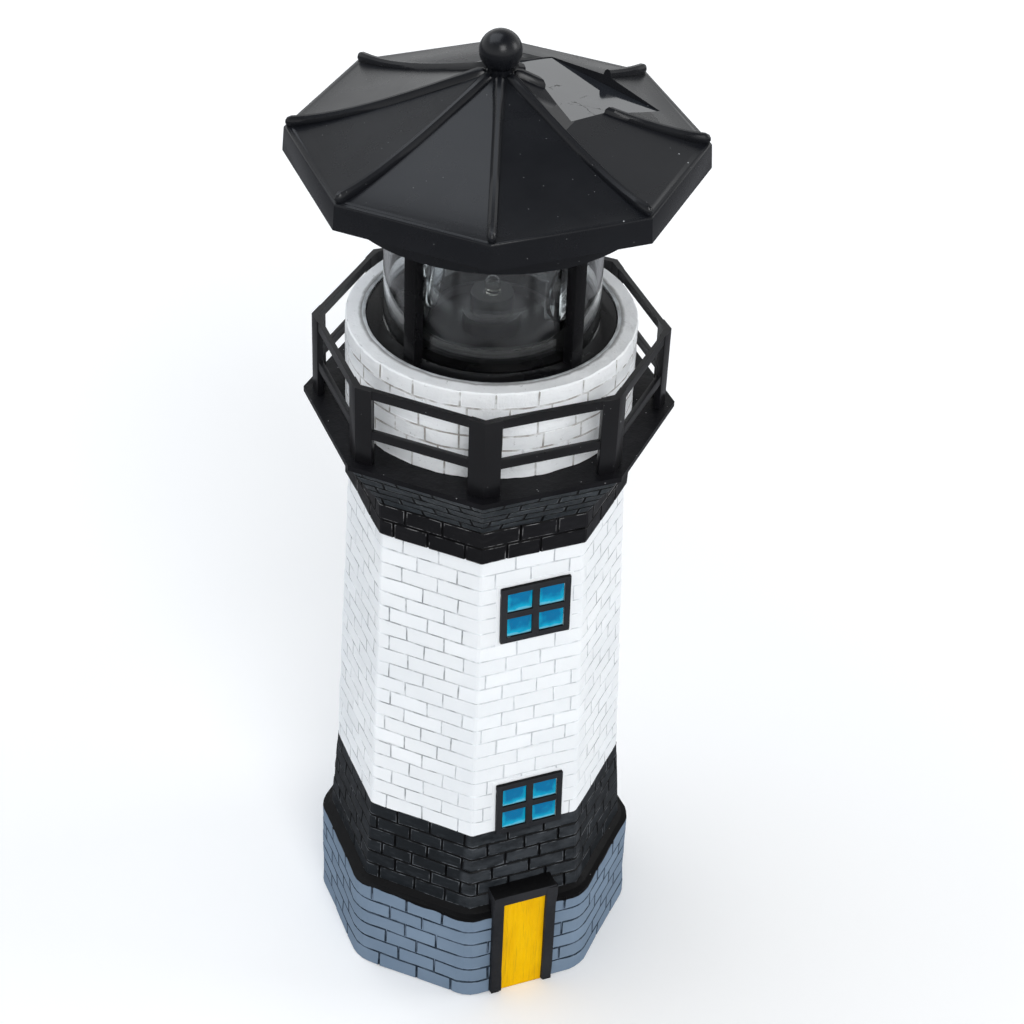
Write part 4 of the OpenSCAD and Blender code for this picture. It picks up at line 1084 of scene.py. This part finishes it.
def studio_floor():
    """White paper for the eye, and a dim table in what shines."""
    bm = bmesh.new()
    bmesh.ops.create_grid(bm, x_segments=1, y_segments=1, size=4.0)
    mesh = bpy.data.meshes.new("studio_floor")
    bm.to_mesh(mesh)
    bm.free()
    material, n, shader = surface("floor_paper", (0.93, 0.93, 0.93), 0.9, Specular_IOR_Level=0.1)
    place = n.place()
    ray = n.add("ShaderNodeLightPath").outputs
    paper = n.mix(n.noise(place, 0.004, 2.0), (0.92, 0.92, 0.92), (0.94, 0.94, 0.94))
    n.link(n.mix(ray["Is Glossy Ray"], paper, (0.26, 0.26, 0.27)), shader.inputs["Base Color"])
    x, y, _ = n.split(place)
    lifted = n.ramp(n.reach(x, y), 200.0, 1500.0, 0.08, 0.6)      # evens out the lights' falloff
    n.link(n.times(lifted, ray["Is Camera Ray"]), shader.inputs["Emission Color"])
    shader.inputs["Emission Strength"].default_value = 1.0
    mesh.materials.append(material)
    floor = bpy.data.objects.new("studio_floor", mesh)
    bpy.context.scene.collection.objects.link(floor)


def soft_light(name, bearing_deg, height_deg, away, size, power, colour=(1, 1, 1)):
    """A square area light that looks at the middle of the tower."""
    a, e = math.radians(bearing_deg), math.radians(height_deg)
    aim = Vector((0, 0, 0.2))
    place = aim + Vector((math.cos(a) * math.cos(e), math.sin(a) * math.cos(e), math.sin(e))) * away
    lamp = bpy.data.lights.new(name, "AREA")
    lamp.size, lamp.energy, lamp.color = size, power, colour
    light = bpy.data.objects.new(name, lamp)
    turn = (aim - place).to_track_quat("-Z", "Y").to_matrix().to_4x4()
    light.matrix_world = Matrix.Translation(place) @ turn
    bpy.context.scene.collection.objects.link(light)


def studio_light():
    """A bright horizon under a dimmer ceiling, with three large soft lights."""
    world = bpy.data.worlds.new("studio")
    bpy.context.scene.world = world
    world.use_nodes = True
    n = Nodes(world.node_tree)
    _, _, up = n.split(n.add("ShaderNodeTexCoord").outputs["Generated"])
    background = world.node_tree.nodes["Background"]
    background.inputs["Color"].default_value = (0.975, 0.99, 1.0, 1)
    n.link(n.ramp(up, 0.2, 0.9, 1.06, 0.1), background.inputs["Strength"])
    soft_light("key_light", -97, 40, away=1.7, size=0.7, power=11.2)
    soft_light("right_light", -18, 24, away=1.6, size=0.6, power=4.6)
    soft_light("top_light", 135, 66, away=1.5, size=1.3, power=12.4, colour=(0.88, 0.93, 1.0))


def studio_camera():
    """Camera at the photograph's view: place, direction and roll from the fitted perspective."""
    az, el, roll = (math.radians(turn) for turn in (-22.6048, 37.2309, 2.4449))
    off_axis, aim_z, away = 9.2327 * MM, 180.3044 * MM, 830.853 * MM
    focal_length, photo_width, sensor_width = 2427.42, 1024, 36    # two in pixels, one in millimetres
    back = Vector((math.sin(az) * math.cos(el), -math.cos(az) * math.cos(el), math.sin(el)))
    aim = Vector((off_axis * math.cos(az), off_axis * math.sin(az), aim_z))
    level = (-back).cross(Vector((0, 0, 1))).normalized()
    upright = level.cross(-back)
    right = level * math.cos(roll) + upright * math.sin(roll)
    up = upright * math.cos(roll) - level * math.sin(roll)
    lens = bpy.data.cameras.new("camera")
    lens.sensor_width = sensor_width
    lens.lens = focal_length / photo_width * sensor_width
    lens.clip_start = 0.05
    camera = bpy.data.objects.new("camera", lens)
    turn = Matrix((right, up, back)).transposed().to_4x4()
    camera.matrix_world = Matrix.Translation(aim + back * away) @ turn
    bpy.context.scene.collection.objects.link(camera)
    bpy.context.scene.camera = camera


studio_camera()
studio_light()
studio_floor()
dress_nodes()
plinth_bricks()
dark_bricks()
shaft_bricks()
corbel_bricks()
drum_bricks()
door_frame()
door_leaf()
for label, level in (("low", BELT_Z + 10.2), ("high", BAND_Z - 23.6)):
    window_margin(label + "_window_margin", level, 21)
    window_frame(label + "_window_frame", level, 31)
    window_panes(label + "_window_panes", level)
soft_railing()
soft_roof()
soft_lamp_frame()
bpy.context.scene.view_settings.view_transform = "Standard"
